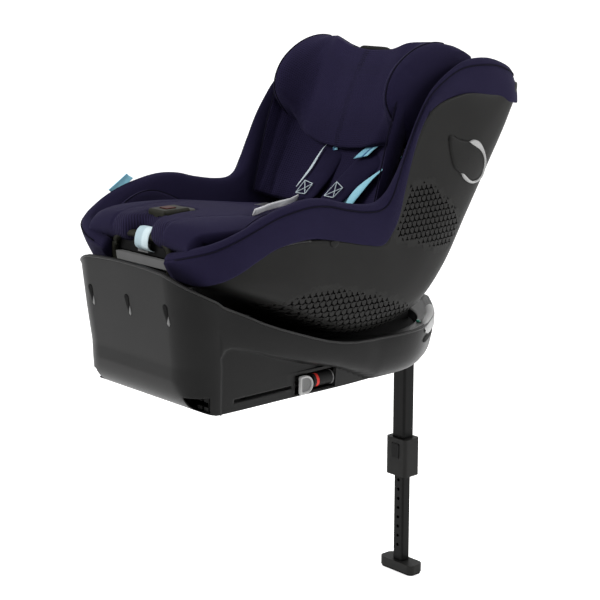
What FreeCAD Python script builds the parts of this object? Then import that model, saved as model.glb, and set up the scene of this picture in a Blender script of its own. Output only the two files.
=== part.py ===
import FreeCAD, Part
import math
import os

import Sketcher
from FreeCAD import Rotation, Vector

# Convertible child car seat with a swivelling bucket on an ISOFIX base.
# Frame, in millimetres: +Z is up, the origin is on the base's underside below the swivel
# axis, -Y points to the rebound panel and +Y to the support leg. "left" is +X.
# A sub-part's Label is its node name. Coordinates inside outlines are (y, z) pairs
# unless a function says otherwise.

DOC = FreeCAD.newDocument("CarSeat")

SIZES = {
    # base
    "wall": 3,
    "base_half_width": 160,
    "split_half_width": 165,
    "rim_half_width": 212,
    "panel_half_width": 166,
    "panel_foot_half_width": 158,
    "plan_corner": 60,
    "split_level": 45,
    "rim_level": 84,
    "panel_top": 247,
    "panel_y": -444,
    "panel_lean": 20,
    "panel_wall": 12,
    "nose_y": 258,
    "front_round": 60,
    "bowl_radius": 178,
    "bowl_floor": 56,
    "hole_spread": 107,
    "hole_level": 190,
    # swivel
    "ball_radius": 3,
    "ball_circle": 157.5,
    "race_half_width": 8,
    "race_height": 4.5,
    "ball_count": 24,
    "turntable_radius": 172,
    "turntable_bottom": 62.5,
    "turntable_thick": 6,
    "hub_radius": 24.5,
    # support leg
    "leg_y": 221,
    "leg_pivot_level": 24,
    "leg_width": 34,
    "leg_depth": 29,
    "leg_inner_width": 27,
    "leg_inner_depth": 22,
    "leg_top": 38,
    "collar_top": -205,
    "collar_bottom": -284,
    "collar_width": 56,
    "collar_depth": 42,
    "lower_tube_top": -165,
    "foot_top": -470,
    "sole_level": -492,
    "foot_width": 92,
    "foot_depth": 38,
    "hole_pitch": 20,
    "leg_hole_radius": 3.6,
    # ISOFIX arms
    "arm_x": 140,
    "arm_level": 20,
    "arm_thick": 14,
    "arm_height": 18,
    "head_width": 28,
    "head_height": 24,
    "head_rear_y": -338,
    # seat
    "recline_y": -60,
    "recline_z": 400,
    "shell_radius": 318,
    "runner_thick": 6,
    "rail_x": 70,
    "rail_width": 20,
    "shell_wall": 4,
    "back_angle": 25,
    "back_foot_y": 18,
    "back_foot_z": 290,
    "side_inner_x": 172,
    "side_split_x": 199,
    "side_outer_x": 218,
    "flap_inner_x": 206.5,
    "flap_thick": 4,
}

SHEET = DOC.addObject("Spreadsheet::Sheet", "Sizes")
for row, (alias, number) in enumerate(SIZES.items(), start=1):
    SHEET.set("A%d" % row, alias)
    SHEET.set("B%d" % row, str(number))
    SHEET.setAlias("B%d" % row, alias)
DOC.recompute()

NODES = []
SIDES = {"left": 1, "right": -1}
TURN = {"X": Rotation(Vector(0, 1, 0), 90), "Y": Rotation(Vector(1, 0, 0), -90), "Z": Rotation()}


def size(alias):
    return float(SHEET.get(alias))


def node(item, label=None):
    """Keep a finished sub-part; its Label names its file."""
    item.Label = label or item.Name
    NODES.append(item)
    return item


def place(item, corner, turn="Z"):
    """Turn an item and bind its position to expressions of the sheet."""
    item.Placement.Rotation = TURN[turn]
    for letter, expression in zip("xyz", corner):
        item.setExpression("Placement.Base." + letter, str(expression))


# ------------------------------------------------------------------ primitives

def box(name, middle, lengths):
    """Box from its middle and its three lengths, all sheet expressions or numbers."""
    item = DOC.addObject("Part::Box", name)
    for prop, length in zip(("Length", "Width", "Height"), lengths):
        item.setExpression(prop, str(length))
    place(item, ["(%s) - (%s) / 2" % pair for pair in zip(middle, lengths)])
    return item


def cylinder(name, start, radius, height, turn="Z"):
    item = DOC.addObject("Part::Cylinder", name)
    item.setExpression("Radius", str(radius))
    item.setExpression("Height", str(height))
    place(item, start, turn)
    return item


def cut(name, base, *tools):
    item = DOC.addObject("Part::Cut", name)
    item.Base = base
    item.Tool = tools[0] if len(tools) == 1 else fuse(name + "_tools", *tools)
    return item


def fuse(name, *pieces):
    item = DOC.addObject("Part::MultiFuse", name)
    item.Shapes = list(pieces)
    return item


def rounded(name, base, radius, direction):
    """Round the base's straight edges that run along a direction."""
    DOC.recompute()
    item = DOC.addObject("Part::Fillet", name)
    item.Base = base
    along = Vector(*direction)
    edges = []
    for number, edge in enumerate(base.Shape.Edges, start=1):
        if isinstance(edge.Curve, Part.Line) and abs(abs(edge.Curve.Direction.dot(along)) - 1) < 1e-6:
            edges.append((number, radius, radius))
    item.Edges = edges
    return item


def feature(name, shape):
    item = DOC.addObject("Part::Feature", name)
    item.Shape = shape
    return item


# ------------------------------------------------------------- PartDesign bodies

def origin_plane(body, role):
    return next(plane for plane in body.Origin.OriginFeatures if plane.Role == role)


def new_sketch(body, name, role):
    sketch = body.newObject("Sketcher::SketchObject", name)
    sketch.AttachmentSupport = [(origin_plane(body, role), "")]
    sketch.MapMode = "FlatFace"
    return sketch


def draw_rectangle(sketch, width, height):
    """Rectangle centred on the sketch's origin, its two lengths bound to the sheet."""
    corners = [Vector(-1, -1, 0), Vector(1, -1, 0), Vector(1, 1, 0), Vector(-1, 1, 0)]
    first = sketch.GeometryCount
    for start, end in zip(corners, corners[1:] + corners[:1]):
        sketch.addGeometry(Part.LineSegment(start, end), False)
    for side in range(4):
        sketch.addConstraint(Sketcher.Constraint("Coincident", first + side, 2, first + (side + 1) % 4, 1))
    for side, kind in zip(range(4), ("Horizontal", "Vertical") * 2):
        sketch.addConstraint(Sketcher.Constraint(kind, first + side))
    sketch.addConstraint(Sketcher.Constraint("Symmetric", first, 1, first + 2, 1, -1, 1))
    for side, prop in ((first, width), (first + 1, height)):
        kind = "DistanceX" if side == first else "DistanceY"
        number = sketch.addConstraint(Sketcher.Constraint(kind, side, 1, side, 2, 2.0))
        sketch.setExpression("Constraints[%d]" % number, str(prop))


def draw_circle(sketch, radius):
    first = sketch.addGeometry(Part.Circle(Vector(0, 0, 0), Vector(0, 0, 1), 1.0), False)
    sketch.addConstraint(Sketcher.Constraint("Coincident", first, 3, -1, 1))
    number = sketch.addConstraint(Sketcher.Constraint("Radius", first, 1.0))
    sketch.setExpression("Constraints[%d]" % number, str(radius))


def pad(body, sketch, length):
    item = body.newObject("PartDesign::Pad", sketch.Name + "_pad")
    item.Profile = sketch
    item.setExpression("Length", str(length))
    DOC.recompute()
    return item


def pocket(body, sketch, depth):
    """Pocket towards +Z of an XY sketch at the body's foot, checked by its volume."""
    before = body.Shape.Volume
    item = body.newObject("PartDesign::Pocket", sketch.Name + "_pocket")
    item.Profile = sketch
    item.setExpression("Length", str(depth))
    item.Reversed = True
    DOC.recompute()
    if body.Shape.Volume >= before:
        raise RuntimeError(sketch.Name + " cuts nothing")
    return item


def edges_along(shape, direction):
    along = Vector(*direction)
    names = []
    for number, edge in enumerate(shape.Edges, start=1):
        if isinstance(edge.Curve, Part.Line) and abs(abs(edge.Curve.Direction.dot(along)) - 1) < 1e-6:
            names.append("Edge%d" % number)
    return names


def round_body(body, feature_item, radius, direction=(0, 0, 1)):
    item = body.newObject("PartDesign::Fillet", body.Name + "_round")
    item.Base = (feature_item, edges_along(feature_item.Shape, direction))
    item.Radius = radius
    body.Tip = item
    DOC.recompute()
    return item


def bar_body(name, width, depth, height, foot, round_radius, turn="Z"):
    """Rectangular bar padded from its foot's centre, its long edges rounded."""
    body = DOC.addObject("PartDesign::Body", name)
    sketch = new_sketch(body, name + "_section", "XY_Plane")
    draw_rectangle(sketch, width, depth)
    solid = pad(body, sketch, height)
    round_body(body, solid, round_radius)
    place(body, foot, turn)
    return body


def tube_body(name, outer, inner, height, foot, round_radius):
    """Rectangular tube: the bar with a through pocket."""
    body = bar_body(name, outer[0], outer[1], height, foot, round_radius)
    sketch = new_sketch(body, name + "_bore", "XY_Plane")
    draw_rectangle(sketch, inner[0], inner[1])
    pocket(body, sketch, height)
    return body


def disc_body(name, radius, height, foot, turn="Z"):
    body = DOC.addObject("PartDesign::Body", name)
    sketch = new_sketch(body, name + "_section", "XY_Plane")
    draw_circle(sketch, radius)
    pad(body, sketch, height)
    place(body, foot, turn)
    return body


# --------------------------------------------------------------- shaped solids

def prism(points, x_low, x_high):
    """Solid between two X planes over a closed (y, z) polygon."""
    corners = [Vector(x_low, y, z) for y, z in points]
    face = Part.Face(Part.makePolygon(corners + corners[:1]))
    return face.extrude(Vector(x_high - x_low, 0, 0))


def curved_prism(curve, straight, x_low, x_high):
    """Like prism, with a smooth curve through the first points and straight sides after."""
    line = Part.BSplineCurve()
    line.interpolate([Vector(x_low, y, z) for y, z in curve])
    rest = [curve[-1]] + straight + [curve[0]]
    sides = Part.makePolygon([Vector(x_low, y, z) for y, z in rest])
    face = Part.Face(Part.Wire([line.toShape()] + sides.Edges))
    return face.extrude(Vector(x_high - x_low, 0, 0))


def x_round(radius, y, z, x_low, x_high):
    """Cylinder along X through (y, z)."""
    return Part.makeCylinder(radius, x_high - x_low, Vector(x_low, y, z), Vector(1, 0, 0))


def block(x_range, y_range, z_range):
    lengths = [high - low for low, high in (x_range, y_range, z_range)]
    return Part.makeBox(*lengths, Vector(x_range[0], y_range[0], z_range[0]))


def mirrored(shape, side):
    """The shape itself on the left, its mirror image on the right."""
    return shape if side == "left" else shape.mirror(Vector(0, 0, 0), Vector(1, 0, 0))


def both_sides(name, shape):
    """One node on each side."""
    for side in SIDES:
        node(feature("%s_%s" % (name, side), mirrored(shape, side)))


def twin(name, shape):
    """One node that holds the piece and its mirror image as separate solids."""
    return node(feature(name, Part.makeCompound([mirrored(shape, side) for side in SIDES])))


def back_point(along, out):
    """(y, z) of a point of the backrest: along it from its foot, and out of its face."""
    angle = math.radians(size("back_angle"))
    y = size("back_foot_y") + along * math.sin(angle) - out * math.cos(angle)
    z = size("back_foot_z") + along * math.cos(angle) + out * math.sin(angle)
    return (y, z)


# ------------------------------------------------------------------------ base

def plan_outline(level, half_width, panel_half_width, inset, lean):
    """Base seen from above: flat panel, round corners, bowed sides and a tapered nose."""
    front = size("panel_y") - lean + inset
    panel = panel_half_width - inset
    corner = size("plan_corner") - inset
    wide = half_width - inset
    nose = size("nose_y") - inset
    diagonal = corner * (1 - math.sqrt(0.5))
    spline_points = [
        Vector(panel, front + corner, level),
        Vector(wide, 0, level),
        Vector(0.79 * wide, 0.5 * nose, level),
        Vector(0.30 * wide, 0.92 * nose, level),
        Vector(0, nose, level),
    ]
    side = Part.BSplineCurve()
    side.interpolate(spline_points, InitialTangent=Vector(0, 1, 0), FinalTangent=Vector(-1, 0, 0))
    flat_end = Vector(panel - corner, front, level)
    middle = Vector(panel - diagonal, front + diagonal, level)
    half = [Part.Arc(flat_end, middle, spline_points[0]).toShape(), side.toShape()]
    other = [edge.mirror(Vector(0, 0, 0), Vector(1, 0, 0)) for edge in half]
    flat = Part.LineSegment(Vector(-flat_end.x, front, level), flat_end).toShape()
    return Part.Wire(Part.__sortEdges__([flat] + half + other))


def base_block(inset, low, high):
    """Outer body of the base less a skin, between two levels."""
    split, rim, top = size("split_level"), size("rim_level"), size("panel_top") + 10
    foot, head = size("panel_foot_half_width"), size("panel_half_width")
    stations = [
        (0, size("base_half_width"), foot, 0),
        (split, size("split_half_width"), foot + 2, 0),
        (rim, size("rim_half_width"), head - 2, 0),
        (top, size("rim_half_width"), head, size("panel_lean")),
    ]
    wires = [plan_outline(level, wide, panel, inset, lean) for level, wide, panel, lean in stations]
    slabs = [Part.makeLoft(list(pair), True, True) for pair in zip(wires, wires[1:])]
    solid = slabs[0].fuse(slabs[1:]).removeSplitter()
    solid = solid.common(block((-300, 300), (-600, 400), (low, high)))
    return solid.cut(front_corner(inset))


def front_corner(inset):
    """What the round front lower edge takes away."""
    radius = size("front_round")
    centre = (size("panel_y") + radius, radius)
    corner = block((-300, 300), (centre[0] - radius - 80, centre[0]), (-10, centre[1]))
    return corner.cut(x_round(radius - inset, centre[0], centre[1], -300, 300))


def under_rim_line():
    """Everything below the line that falls from the panel's top to the level rim."""
    rim, top = size("rim_level"), size("panel_top")
    line = [(-110, rim), (-170, 97), (-235, 121), (-305, 151), (-375, 188), (-430, 222), (-500, top)]
    return curved_prism(line, [(-500, -10), (300, -10), (300, rim)], -300, 300)


def leg_channel(skin, roof):
    """Trough for the folded leg: narrow for the tubes, wide for the foot."""
    end = size("nose_y") + 40
    narrow = block((-35 - skin, 35 + skin), (-95 - skin, end), (-1, roof))
    wide = block((-52 - skin, 52 + skin), (-312 - skin, -95 + skin), (-1, roof))
    return narrow.fuse(wide)


def channel_plates():
    """The trough's own plates: side walls, shoulders, end wall and roofs."""
    wall, split, roof = size("wall"), size("split_level"), 48
    end = size("nose_y")
    plates = [
        block((-52 - wall, 52 + wall), (-312 - wall, -312), (0, roof)),
        block((-52 - wall, 52 + wall), (-312 - wall, -95 + wall), (roof, roof + wall)),
        block((-35 - wall, 35 + wall), (-95 + wall, end), (roof, roof + wall)),
    ]
    for sign in (-1, 1):
        wide_x = sorted((sign * 52, sign * (52 + wall)))
        narrow_x = sorted((sign * 35, sign * (35 + wall)))
        shoulder_x = sorted((sign * 35, sign * 52))
        plates.append(block(wide_x, (-312, -95 + wall), (0, roof)))
        plates.append(block(narrow_x, (-95 + wall, end), (0, roof)))
        plates.append(block(shoulder_x, (-95, -95 + wall), (0, roof)))
    trim = base_block(wall / 2, 0, split).fuse(base_block(wall + 0.5, split, roof + 2 * wall))
    return [plate.common(trim) for plate in plates]


def isofix_windows():
    """Port in the front, window round the button and slot for its stem, on both sides."""
    level, x = size("arm_level"), size("arm_x")
    port = block((x - 18, x + 14.7), (-460, -378), (level - 14, level + 15))
    window = block((x + 8, x + 40), (-228, -126), (size("wall"), 41))
    slot = block((x + 8, x + 40), (-354, -227), (level - 4, level + 4))
    left = port.fuse([window, slot])
    return left.fuse(mirrored(left, "right"))


def shell_cells():
    """Cells that part the lower shell into floor plates and stretches of side wall."""
    wall, split = size("wall"), size("split_level")
    walls = (wall, split)
    low, high = (0, wall), (-500, 300)
    x, level = size("arm_x"), size("arm_level")
    port_x = (x - 18, x + 14.7)
    cells = [
        ((-200, 200), (high[0], -315), low),
        ((-port_x[0], port_x[0]), (high[0], -378), walls),
    ]
    left = [
        ((55, 200), (-315, -92), low),
        ((38, 200), (-92, high[1]), low),
        (port_x, (high[0], -378), (wall, level - 14)),
        (port_x, (high[0], -378), (level + 15, split)),
        ((port_x[1], 200), (high[0], -378), walls),
        ((100, 200), (-378, -354), walls),
        ((100, 200), (-354, -228), (wall, level - 4)),
        ((100, 200), (-354, -228), (level + 4, split)),
        ((100, 200), (-228, -126), (41, split)),
    ]
    bends = (-126, -30, 50, 110, 160, 205, high[1])
    left += [((38, 200), span, walls) for span in zip(bends, bends[1:])]
    return [block(*cell) for cell in cells], [block(*cell) for cell in left]


def base_lower_shell():
    """Floor plates, wall stretches, screw posts and trough plates, face to face in one node."""
    split, wall = size("split_level"), size("wall")
    shell = base_block(0, 0, split).cut(base_block(wall, wall, split + 1))
    shell = shell.cut(leg_channel(wall, split + 1))
    screws = [Part.makeCylinder(2.2, split + 2, Vector(x, y, -1)) for x, y in screw_places()]
    heads = [Part.makeCylinder(4.4, 4, Vector(x, y, -1)) for x, y in screw_places()]
    shell = shell.cut(screws + heads).cut(isofix_windows()).cut(pad_blocks(-1))
    posts = [Part.makeCylinder(6, split - wall, Vector(x, y, wall)) for x, y in screw_places()]
    posts = [post.cut([shell] + screws + heads) for post in posts]
    middle, left = shell_cells()
    cells = middle + left + [mirrored(cell, "right") for cell in left]
    solids = []
    for piece in [shell.common(cell) for cell in cells] + posts + channel_plates():
        solids += [solid for solid in piece.Solids if solid.Volume > 1]
    return node(feature("base_lower_shell", Part.makeCompound(solids)))


def screw_places():
    return [(x * side, y) for side in (-1, 1) for x, y in ((88, -395), (88, -200), (88, -60), (88, 90))]


def base_upper_shell():
    split, rim, wall = size("split_level"), size("rim_level"), size("wall")
    floor, radius = size("bowl_floor"), size("bowl_radius")
    top = size("panel_top") + 5
    outer = base_block(0, split, top)
    shell = outer.common(under_rim_line())
    shell = shell.cut(base_block(size("panel_wall"), rim, top + 1))
    shell = shell.cut(base_block(wall, split - 1, rim - wall))
    tub = Part.makeCylinder(radius + wall, rim - floor + wall, Vector(0, 0, floor - wall))
    shell = shell.fuse(tub)
    shell = shell.cut(Part.makeCylinder(radius, rim, Vector(0, 0, floor)))
    shell = shell.cut(Part.makeCylinder(size("hub_radius") + 0.5, 30, Vector(0, 0, floor - 10)))
    shell = shell.cut([teardrop(x) for x in (-size("hole_spread"), 0, size("hole_spread"))])
    shell = shell.cut(rotation_button(0.6, 60, -30))
    shell = shell.cut(mirrored(rotation_button(0.6, 60, -30), "right"))
    shell = shell.cut(lock_pin_bore())
    shell = shell.cut(status_window())
    return node(feature("base_upper_shell", shell.removeSplitter()))


def teardrop(x):
    """Blind key hole in the panel's outer face: a round head over a pointed tail."""
    level = size("hole_level")
    head = Part.makeCylinder(4.5, 24, Vector(x, -475, level), Vector(0, 1, 0))
    corners = [(x - 4.4, level - 1), (x + 4.4, level - 1), (x + 2.5, level - 25), (x - 0.5, level - 25)]
    points = [Vector(px, -475, pz) for px, pz in corners]
    tail = Part.Face(Part.makePolygon(points + points[:1])).extrude(Vector(0, 24, 0))
    return head.fuse(tail)


def status_window():
    """Small window in the rim that shows whether the swivel is locked."""
    angle = 34
    window = block((183, 195), (-5, 5), (size("rim_level") - 2, size("rim_level")))
    window.rotate(Vector(0, 0, 0), Vector(0, 0, 1), angle)
    return window


BUTTON_SPOT = Vector(86, 216, 64)
BUTTON_OUT = Vector(0.62, 0.77, -0.15)


def rotation_button(gap, outward, inward):
    """Round push button in the side of the nose, along its own axis."""
    start = BUTTON_SPOT + BUTTON_OUT * inward
    return Part.makeCylinder(16 + gap, outward - inward, start, BUTTON_OUT)


def lock_pin_bore():
    return Part.makeCylinder(5.3, 60, Vector(0, 160, 68), Vector(0, 1, 0))


def screws():
    """Tapping screws that hold the two shells together, head down."""
    pieces = []
    for x, y in screw_places():
        head = Part.makeCylinder(4, 2.4, Vector(x, y, 0.4))
        shank = Part.makeCylinder(2, 40, Vector(x, y, 2.6))
        pieces.append(head.fuse(shank))
    return node(feature("base_screws", Part.makeCompound(pieces)))


def pad_blocks(low):
    """Four rubber inserts let into the underside."""
    pads = []
    for side in (-1, 1):
        for y in (-310, -130):
            pads.append(block((side * 88 - 16, side * 88 + 16), (y - 35, y + 35), (low, 2)))
    return pads


def anti_slip_pads():
    return node(feature("anti_slip_pads", Part.makeCompound(pad_blocks(0))))


# ---------------------------------------------------------------------- swivel

def ring(outer, inner, low, high):
    solid = Part.makeCylinder(outer, high - low, Vector(0, 0, low))
    return solid.cut(Part.makeCylinder(inner, high - low + 2, Vector(0, 0, low - 1)))


def ball_groove():
    level = size("turntable_bottom") - 1
    return Part.makeTorus(size("ball_circle"), size("ball_radius") + 0.1, Vector(0, 0, level))


def swivel_parts():
    floor, circle, half = size("bowl_floor"), size("ball_circle"), size("race_half_width")
    race = ring(circle + half, circle - half, floor, floor + size("race_height")).cut(ball_groove())
    node(feature("bearing_race", race))
    level = size("turntable_bottom") - 1
    balls = []
    count = int(size("ball_count"))
    for number in range(count):
        angle = 2 * math.pi * number / count
        place_of_ball = Vector(circle * math.cos(angle), circle * math.sin(angle), level)
        balls.append(Part.makeSphere(size("ball_radius"), place_of_ball))
    node(feature("bearing_balls", Part.makeCompound(balls)))

    low, thick = size("turntable_bottom"), size("turntable_thick")
    disc = Part.makeCylinder(size("turntable_radius"), thick, Vector(0, 0, low)).cut(ball_groove())
    hub = Part.makeCylinder(size("hub_radius"), low - floor + 2.5, Vector(0, 0, floor - 2.5))
    node(feature("turntable", disc.fuse(hub).cut(Part.makeCylinder(12, 40, Vector(0, 0, 40)))))
    twin("recline_rails", recline_rail())


def recline_rail():
    """Rail under the bucket, hollowed on top to a circle round the recline axis."""
    low = size("turntable_bottom") + size("turntable_thick")
    x, half = size("rail_x"), size("rail_width") / 2
    rail = block((x - half, x + half), (-148, 148), (low, 128))
    radius = size("shell_radius") + size("runner_thick") + 0.5
    return rail.cut(x_round(radius, size("recline_y"), size("recline_z"), x - half - 1, x + half + 1))


def recline_runner():
    """Curved runner fixed under the bucket, which slides in the rail."""
    x, half = size("rail_x"), size("rail_width") / 2
    outer = size("shell_radius") + size("runner_thick")
    centre = (size("recline_y"), size("recline_z"))
    strip = x_round(outer, *centre, x - half, x + half)
    strip = strip.cut(x_round(size("shell_radius") + 0.6, *centre, x - half - 1, x + half + 1))
    return strip.common(block((x - half, x + half), (-150, 130), (0, 200)))


# ----------------------------------------------------------------- support leg

def support_leg():
    y, pivot = "Sizes.leg_y", "Sizes.leg_pivot_level"
    cheeks = []
    for sign in (-1, 1):
        plate = box("leg_cheek_%d" % (sign + 1), (sign * 21.5, y, pivot), (5, 40, 48))
        cheeks.append(rounded("leg_cheek_round_%d" % (sign + 1), plate, 12, (1, 0, 0)))
    pair = fuse("leg_cheeks", *cheeks)
    hole = cylinder("leg_cheek_bore", (-40, y, pivot), 6.05, 80, "X")
    node(cut("leg_bracket", pair, hole))
    node(disc_body("leg_hinge_pin", 6, 50, (-25, y, pivot), "X"))

    tube = tube_body(
        "leg_upper_bar",
        ("Sizes.leg_width", "Sizes.leg_depth"),
        ("Sizes.leg_inner_width + 0.8", "Sizes.leg_inner_depth + 0.8"),
        "Sizes.leg_top - Sizes.collar_bottom",
        (0, y, "Sizes.collar_bottom"),
        5,
    )
    bore = cylinder("leg_pivot_bore", (-40, y, pivot), 6.1, 80, "X")
    node(cut("leg_upper_tube", tube, bore))

    collar = tube_body(
        "leg_collar_block",
        ("Sizes.collar_width", "Sizes.collar_depth"),
        ("Sizes.leg_width + 0.4", "Sizes.leg_depth + 0.4"),
        "Sizes.collar_top - Sizes.collar_bottom",
        (0, y, "Sizes.collar_bottom"),
        7,
    )
    window = box("leg_button_window", (0, "Sizes.leg_y - 22", "Sizes.collar_top - 26"), (21, 16, 31))
    node(cut("leg_collar", collar, window))
    node(bar_body("leg_button", 20, 30, 4.4, (0, "Sizes.leg_y - 22", "Sizes.collar_top - 26"), 4, "Y"))

    lower = tube_body(
        "leg_lower_bar",
        ("Sizes.leg_inner_width", "Sizes.leg_inner_depth"),
        ("Sizes.leg_inner_width - 5", "Sizes.leg_inner_depth - 5"),
        "Sizes.lower_tube_top - Sizes.foot_top",
        (0, y, "Sizes.foot_top"),
        4,
    )
    holes = []
    for number in range(13):
        level = "Sizes.foot_top + 34 + %d * Sizes.hole_pitch" % number
        holes.append(cylinder("leg_hole_%d" % number, (0, "Sizes.leg_y - 20", level), "Sizes.leg_hole_radius", 20, "Y"))
    node(cut("leg_lower_tube", lower, *holes))

    foot = box(
        "foot_block",
        (0, y, "(Sizes.foot_top + Sizes.sole_level + 4) / 2"),
        ("Sizes.foot_width", "Sizes.foot_depth", "Sizes.foot_top - Sizes.sole_level - 4"),
    )
    node(rounded("leg_foot", foot, 12, (0, 0, 1)))
    sole = box("sole_block", (0, y, "Sizes.sole_level + 2"), ("Sizes.foot_width - 4", "Sizes.foot_depth - 4", 4))
    node(rounded("leg_sole", sole, 10, (0, 0, 1)))


# ----------------------------------------------------------------- ISOFIX arms

def isofix_arm():
    x, level = size("arm_x"), size("arm_level")
    half, tall = size("arm_thick") / 2, size("arm_height") / 2
    bar = block((x - half, x + half), (size("head_rear_y"), -150), (level - tall, level + tall))
    stem = block((x + half, x + 21.5), (-204, -186), (level - 3, level + 3))
    return bar.fuse(stem)


def isofix_head():
    """Latch housing: a mouth for the anchor bar, and a slit for the hook."""
    x, level = size("arm_x"), size("arm_level")
    half, tall = size("head_width") / 2, size("head_height") / 2
    rear = size("head_rear_y")
    head = block((x - half, x + half), (rear - 68, rear), (level - tall, level + tall))
    mouth = block((x - half - 1, x + half + 1), (rear - 74, rear - 42), (level - 4.5, level + 4.5))
    slit = block((x - 3, x + 3), (rear - 74, rear - 10), (level - tall - 1, level + tall + 1))
    pin_bore = Part.makeCylinder(2.55, 40, Vector(x - 20, rear - 24, level - 6), Vector(1, 0, 0))
    return head.cut([mouth, slit, pin_bore])


def isofix_hook():
    """Hook on its pin, open below the mouth; it swings up to close on the bar."""
    x, level = size("arm_x"), size("arm_level")
    outline = [(-18, -2), (-32, -6), (-58, -6), (-64, -11), (-18, -11)]
    rear = size("head_rear_y")
    arm = prism([(rear + y, level + z) for y, z in outline], x - 2, x + 2)
    pin = Part.makeCylinder(2.5, 27, Vector(x - 13.5, rear - 24, level - 6), Vector(1, 0, 0))
    return arm.fuse(pin)


def isofix_button():
    """D shaped release button outside the wall: flat in front, round behind."""
    x, level = size("arm_x") + 26.5, size("arm_level")
    back = Part.makeCylinder(16.5, 6, Vector(x, -200, level), Vector(1, 0, 0))
    back = back.common(block((x, x + 6), (-200, -150), (0, 60)))
    front = block((x, x + 6), (-213, -200), (level - 16.5, level + 16.5))
    return back.fuse(front)


def isofix_indicator():
    """Fixed tube behind the button with a coloured ring let into it."""
    x, level = size("arm_x") + 15, size("arm_level")
    tube = Part.makeCylinder(12.5, 46, Vector(x, -176, level), Vector(0, 1, 0))
    tube = tube.cut(block((x - 20, x - 6), (-180, -120), (0, 60)))
    groove = tube.common(block((x - 20, x + 20), (-170, -164), (0, 60)))
    core = Part.makeCylinder(10.5, 60, Vector(x, -180, level), Vector(0, 1, 0))
    return tube.cut(groove.cut(core)), groove.cut(core)


def isofix_guide():
    """Channel that guides the arm, open on top."""
    x, level = size("arm_x"), size("arm_level")
    half, tall = size("arm_thick") / 2, size("arm_height") / 2
    guide = block((x - half - 3, x + half + 3), (size("head_rear_y") + 16, -215), (size("wall"), level + tall))
    room = block((x - half - 0.5, x + half + 0.5), (-345, -210), (level - tall - 0.5, level + tall + 1))
    stem_way = block((x, x + half + 4), (-345, -210), (level - 4, level + 20))
    return guide.cut([room, stem_way])


def isofix_parts():
    both_sides("isofix_arm", isofix_arm())
    both_sides("isofix_head", isofix_head())
    both_sides("isofix_hook", isofix_hook())
    both_sides("isofix_button", isofix_button())
    tube, coloured = isofix_indicator()
    twin("isofix_indicator_tubes", tube)
    twin("isofix_indicator_rings", coloured)
    twin("isofix_guides", isofix_guide())


# ---------------------------------------------------------------- bucket shell

# Stations of the bucket from its front edge, under the seat and up the back:
# lowest point (y, z), edge point (y, z) and half width.
STATIONS = [
    ((-398, 212), (-404, 256), 138),
    ((-335, 190), (-350, 272), 190),
    ((-265, 158), (-270, 287), 211),
    ((-185, 117), (-180, 283), 217),
    ((-105, 85), (-100, 268), 218),
    ((-20, 84.5), (-52, 262), 218),
    ((75, 111), (-36, 290), 217),
    ((150, 172), (-10, 350), 215),
    ((215, 262), (20, 425), 213),
    ((272, 350), (66, 486), 213),
    ((322, 440), (150, 508), 211),
    ((352, 512), (232, 505), 200),
    ((338, 552), (262, 532), 176),
]


def bucket_section(low, edge, half_width, skin, grow=0):
    """Closed U between the outer skin and the inner skin of one station, both grown."""
    origin = Vector(0, *low)
    up = Vector(0, *edge) - origin
    depth = up.Length
    up.normalize()
    origin = origin - up * grow
    depth += 2 * grow
    half_width += grow

    def at(x, rise):
        return origin + Vector(x, 0, 0) + up * rise

    shape = ((0.0, 0.0), (0.5, 0.015), (0.8, 0.14), (0.95, 0.45), (1.0, 1.0))
    outer, inner = [], []
    for across, rise in shape:
        lean = across ** 3
        outer.append((across * half_width, rise * depth))
        thick = skin + 2 * grow
        inner.append((across * half_width - thick * lean, rise * depth + thick * (1 - lean)))
    edges = []
    for line in (outer, inner):
        mirror = [(-x, rise) for x, rise in reversed(line[1:])]
        curve = Part.BSplineCurve()
        curve.interpolate([at(x, rise) for x, rise in mirror + line])
        edges.append(curve.toShape())
    ends = []
    for sign in (-1, 1):
        ends.append(Part.LineSegment(at(sign * outer[-1][0], outer[-1][1]), at(sign * inner[-1][0], inner[-1][1])).toShape())
    return Part.Wire(Part.__sortEdges__([edges[0], ends[1], edges[1], ends[0]]))


def flap_outline(grow):
    """Outline of the side impact flap, grown all round."""
    corners = [(121, 424), (171, 416), (208, 403), (228, 379), (222, 360), (198, 358), (168, 373), (139, 394)]
    middle = (174, 390)
    grown = []
    for y, z in corners:
        reach = math.hypot(y - middle[0], z - middle[1])
        factor = 1 + grow / reach
        grown.append((middle[0] + (y - middle[0]) * factor, middle[1] + (z - middle[1]) * factor))
    return grown


def bucket_loft(grow):
    wires = [bucket_section(low, edge, wide, size("shell_wall"), grow) for low, edge, wide in STATIONS]
    return Part.makeLoft(wires, True, False)


def clear_of_shell(shape):
    """The piece of a shape that is left inside the bucket, with a small gap to the shell."""
    rest = shape.cut(KEEP_CLEAR)
    return max(rest.Solids, key=lambda solid: solid.Volume)


def seat_shell():
    shell = bucket_loft(0)
    for sign in (-1, 1):
        low, high = sorted((sign * 190, sign * 240))
        shell = shell.cut(prism(flap_outline(4), low, high))
    clearance = x_round(600, size("recline_y"), size("recline_z"), -300, 300)
    keep_out = clearance.cut(x_round(size("shell_radius"), size("recline_y"), size("recline_z"), -300, 300))
    keep_out = keep_out.common(block((-300, 300), (-175, 178), (0, 140)))
    shell = shell.cut(keep_out)
    return node(feature("seat_shell", shell))


# ----------------------------------------------------------------- soft pieces

RIDGE = [(232, 568), (175, 569), (123, 551), (75, 524), (29, 462), (-7, 396), (-34, 352), (-58, 335),
         (-97, 334), (-150, 343), (-236, 357), (-298, 352), (-358, 339), (-405, 315)]
EDGE_LINE = [(-404, 260), (-350, 276), (-270, 291), (-180, 287), (-100, 272), (-50, 268), (-34, 300),
             (-8, 354), (22, 429), (68, 490), (150, 512), (232, 510)]


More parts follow.
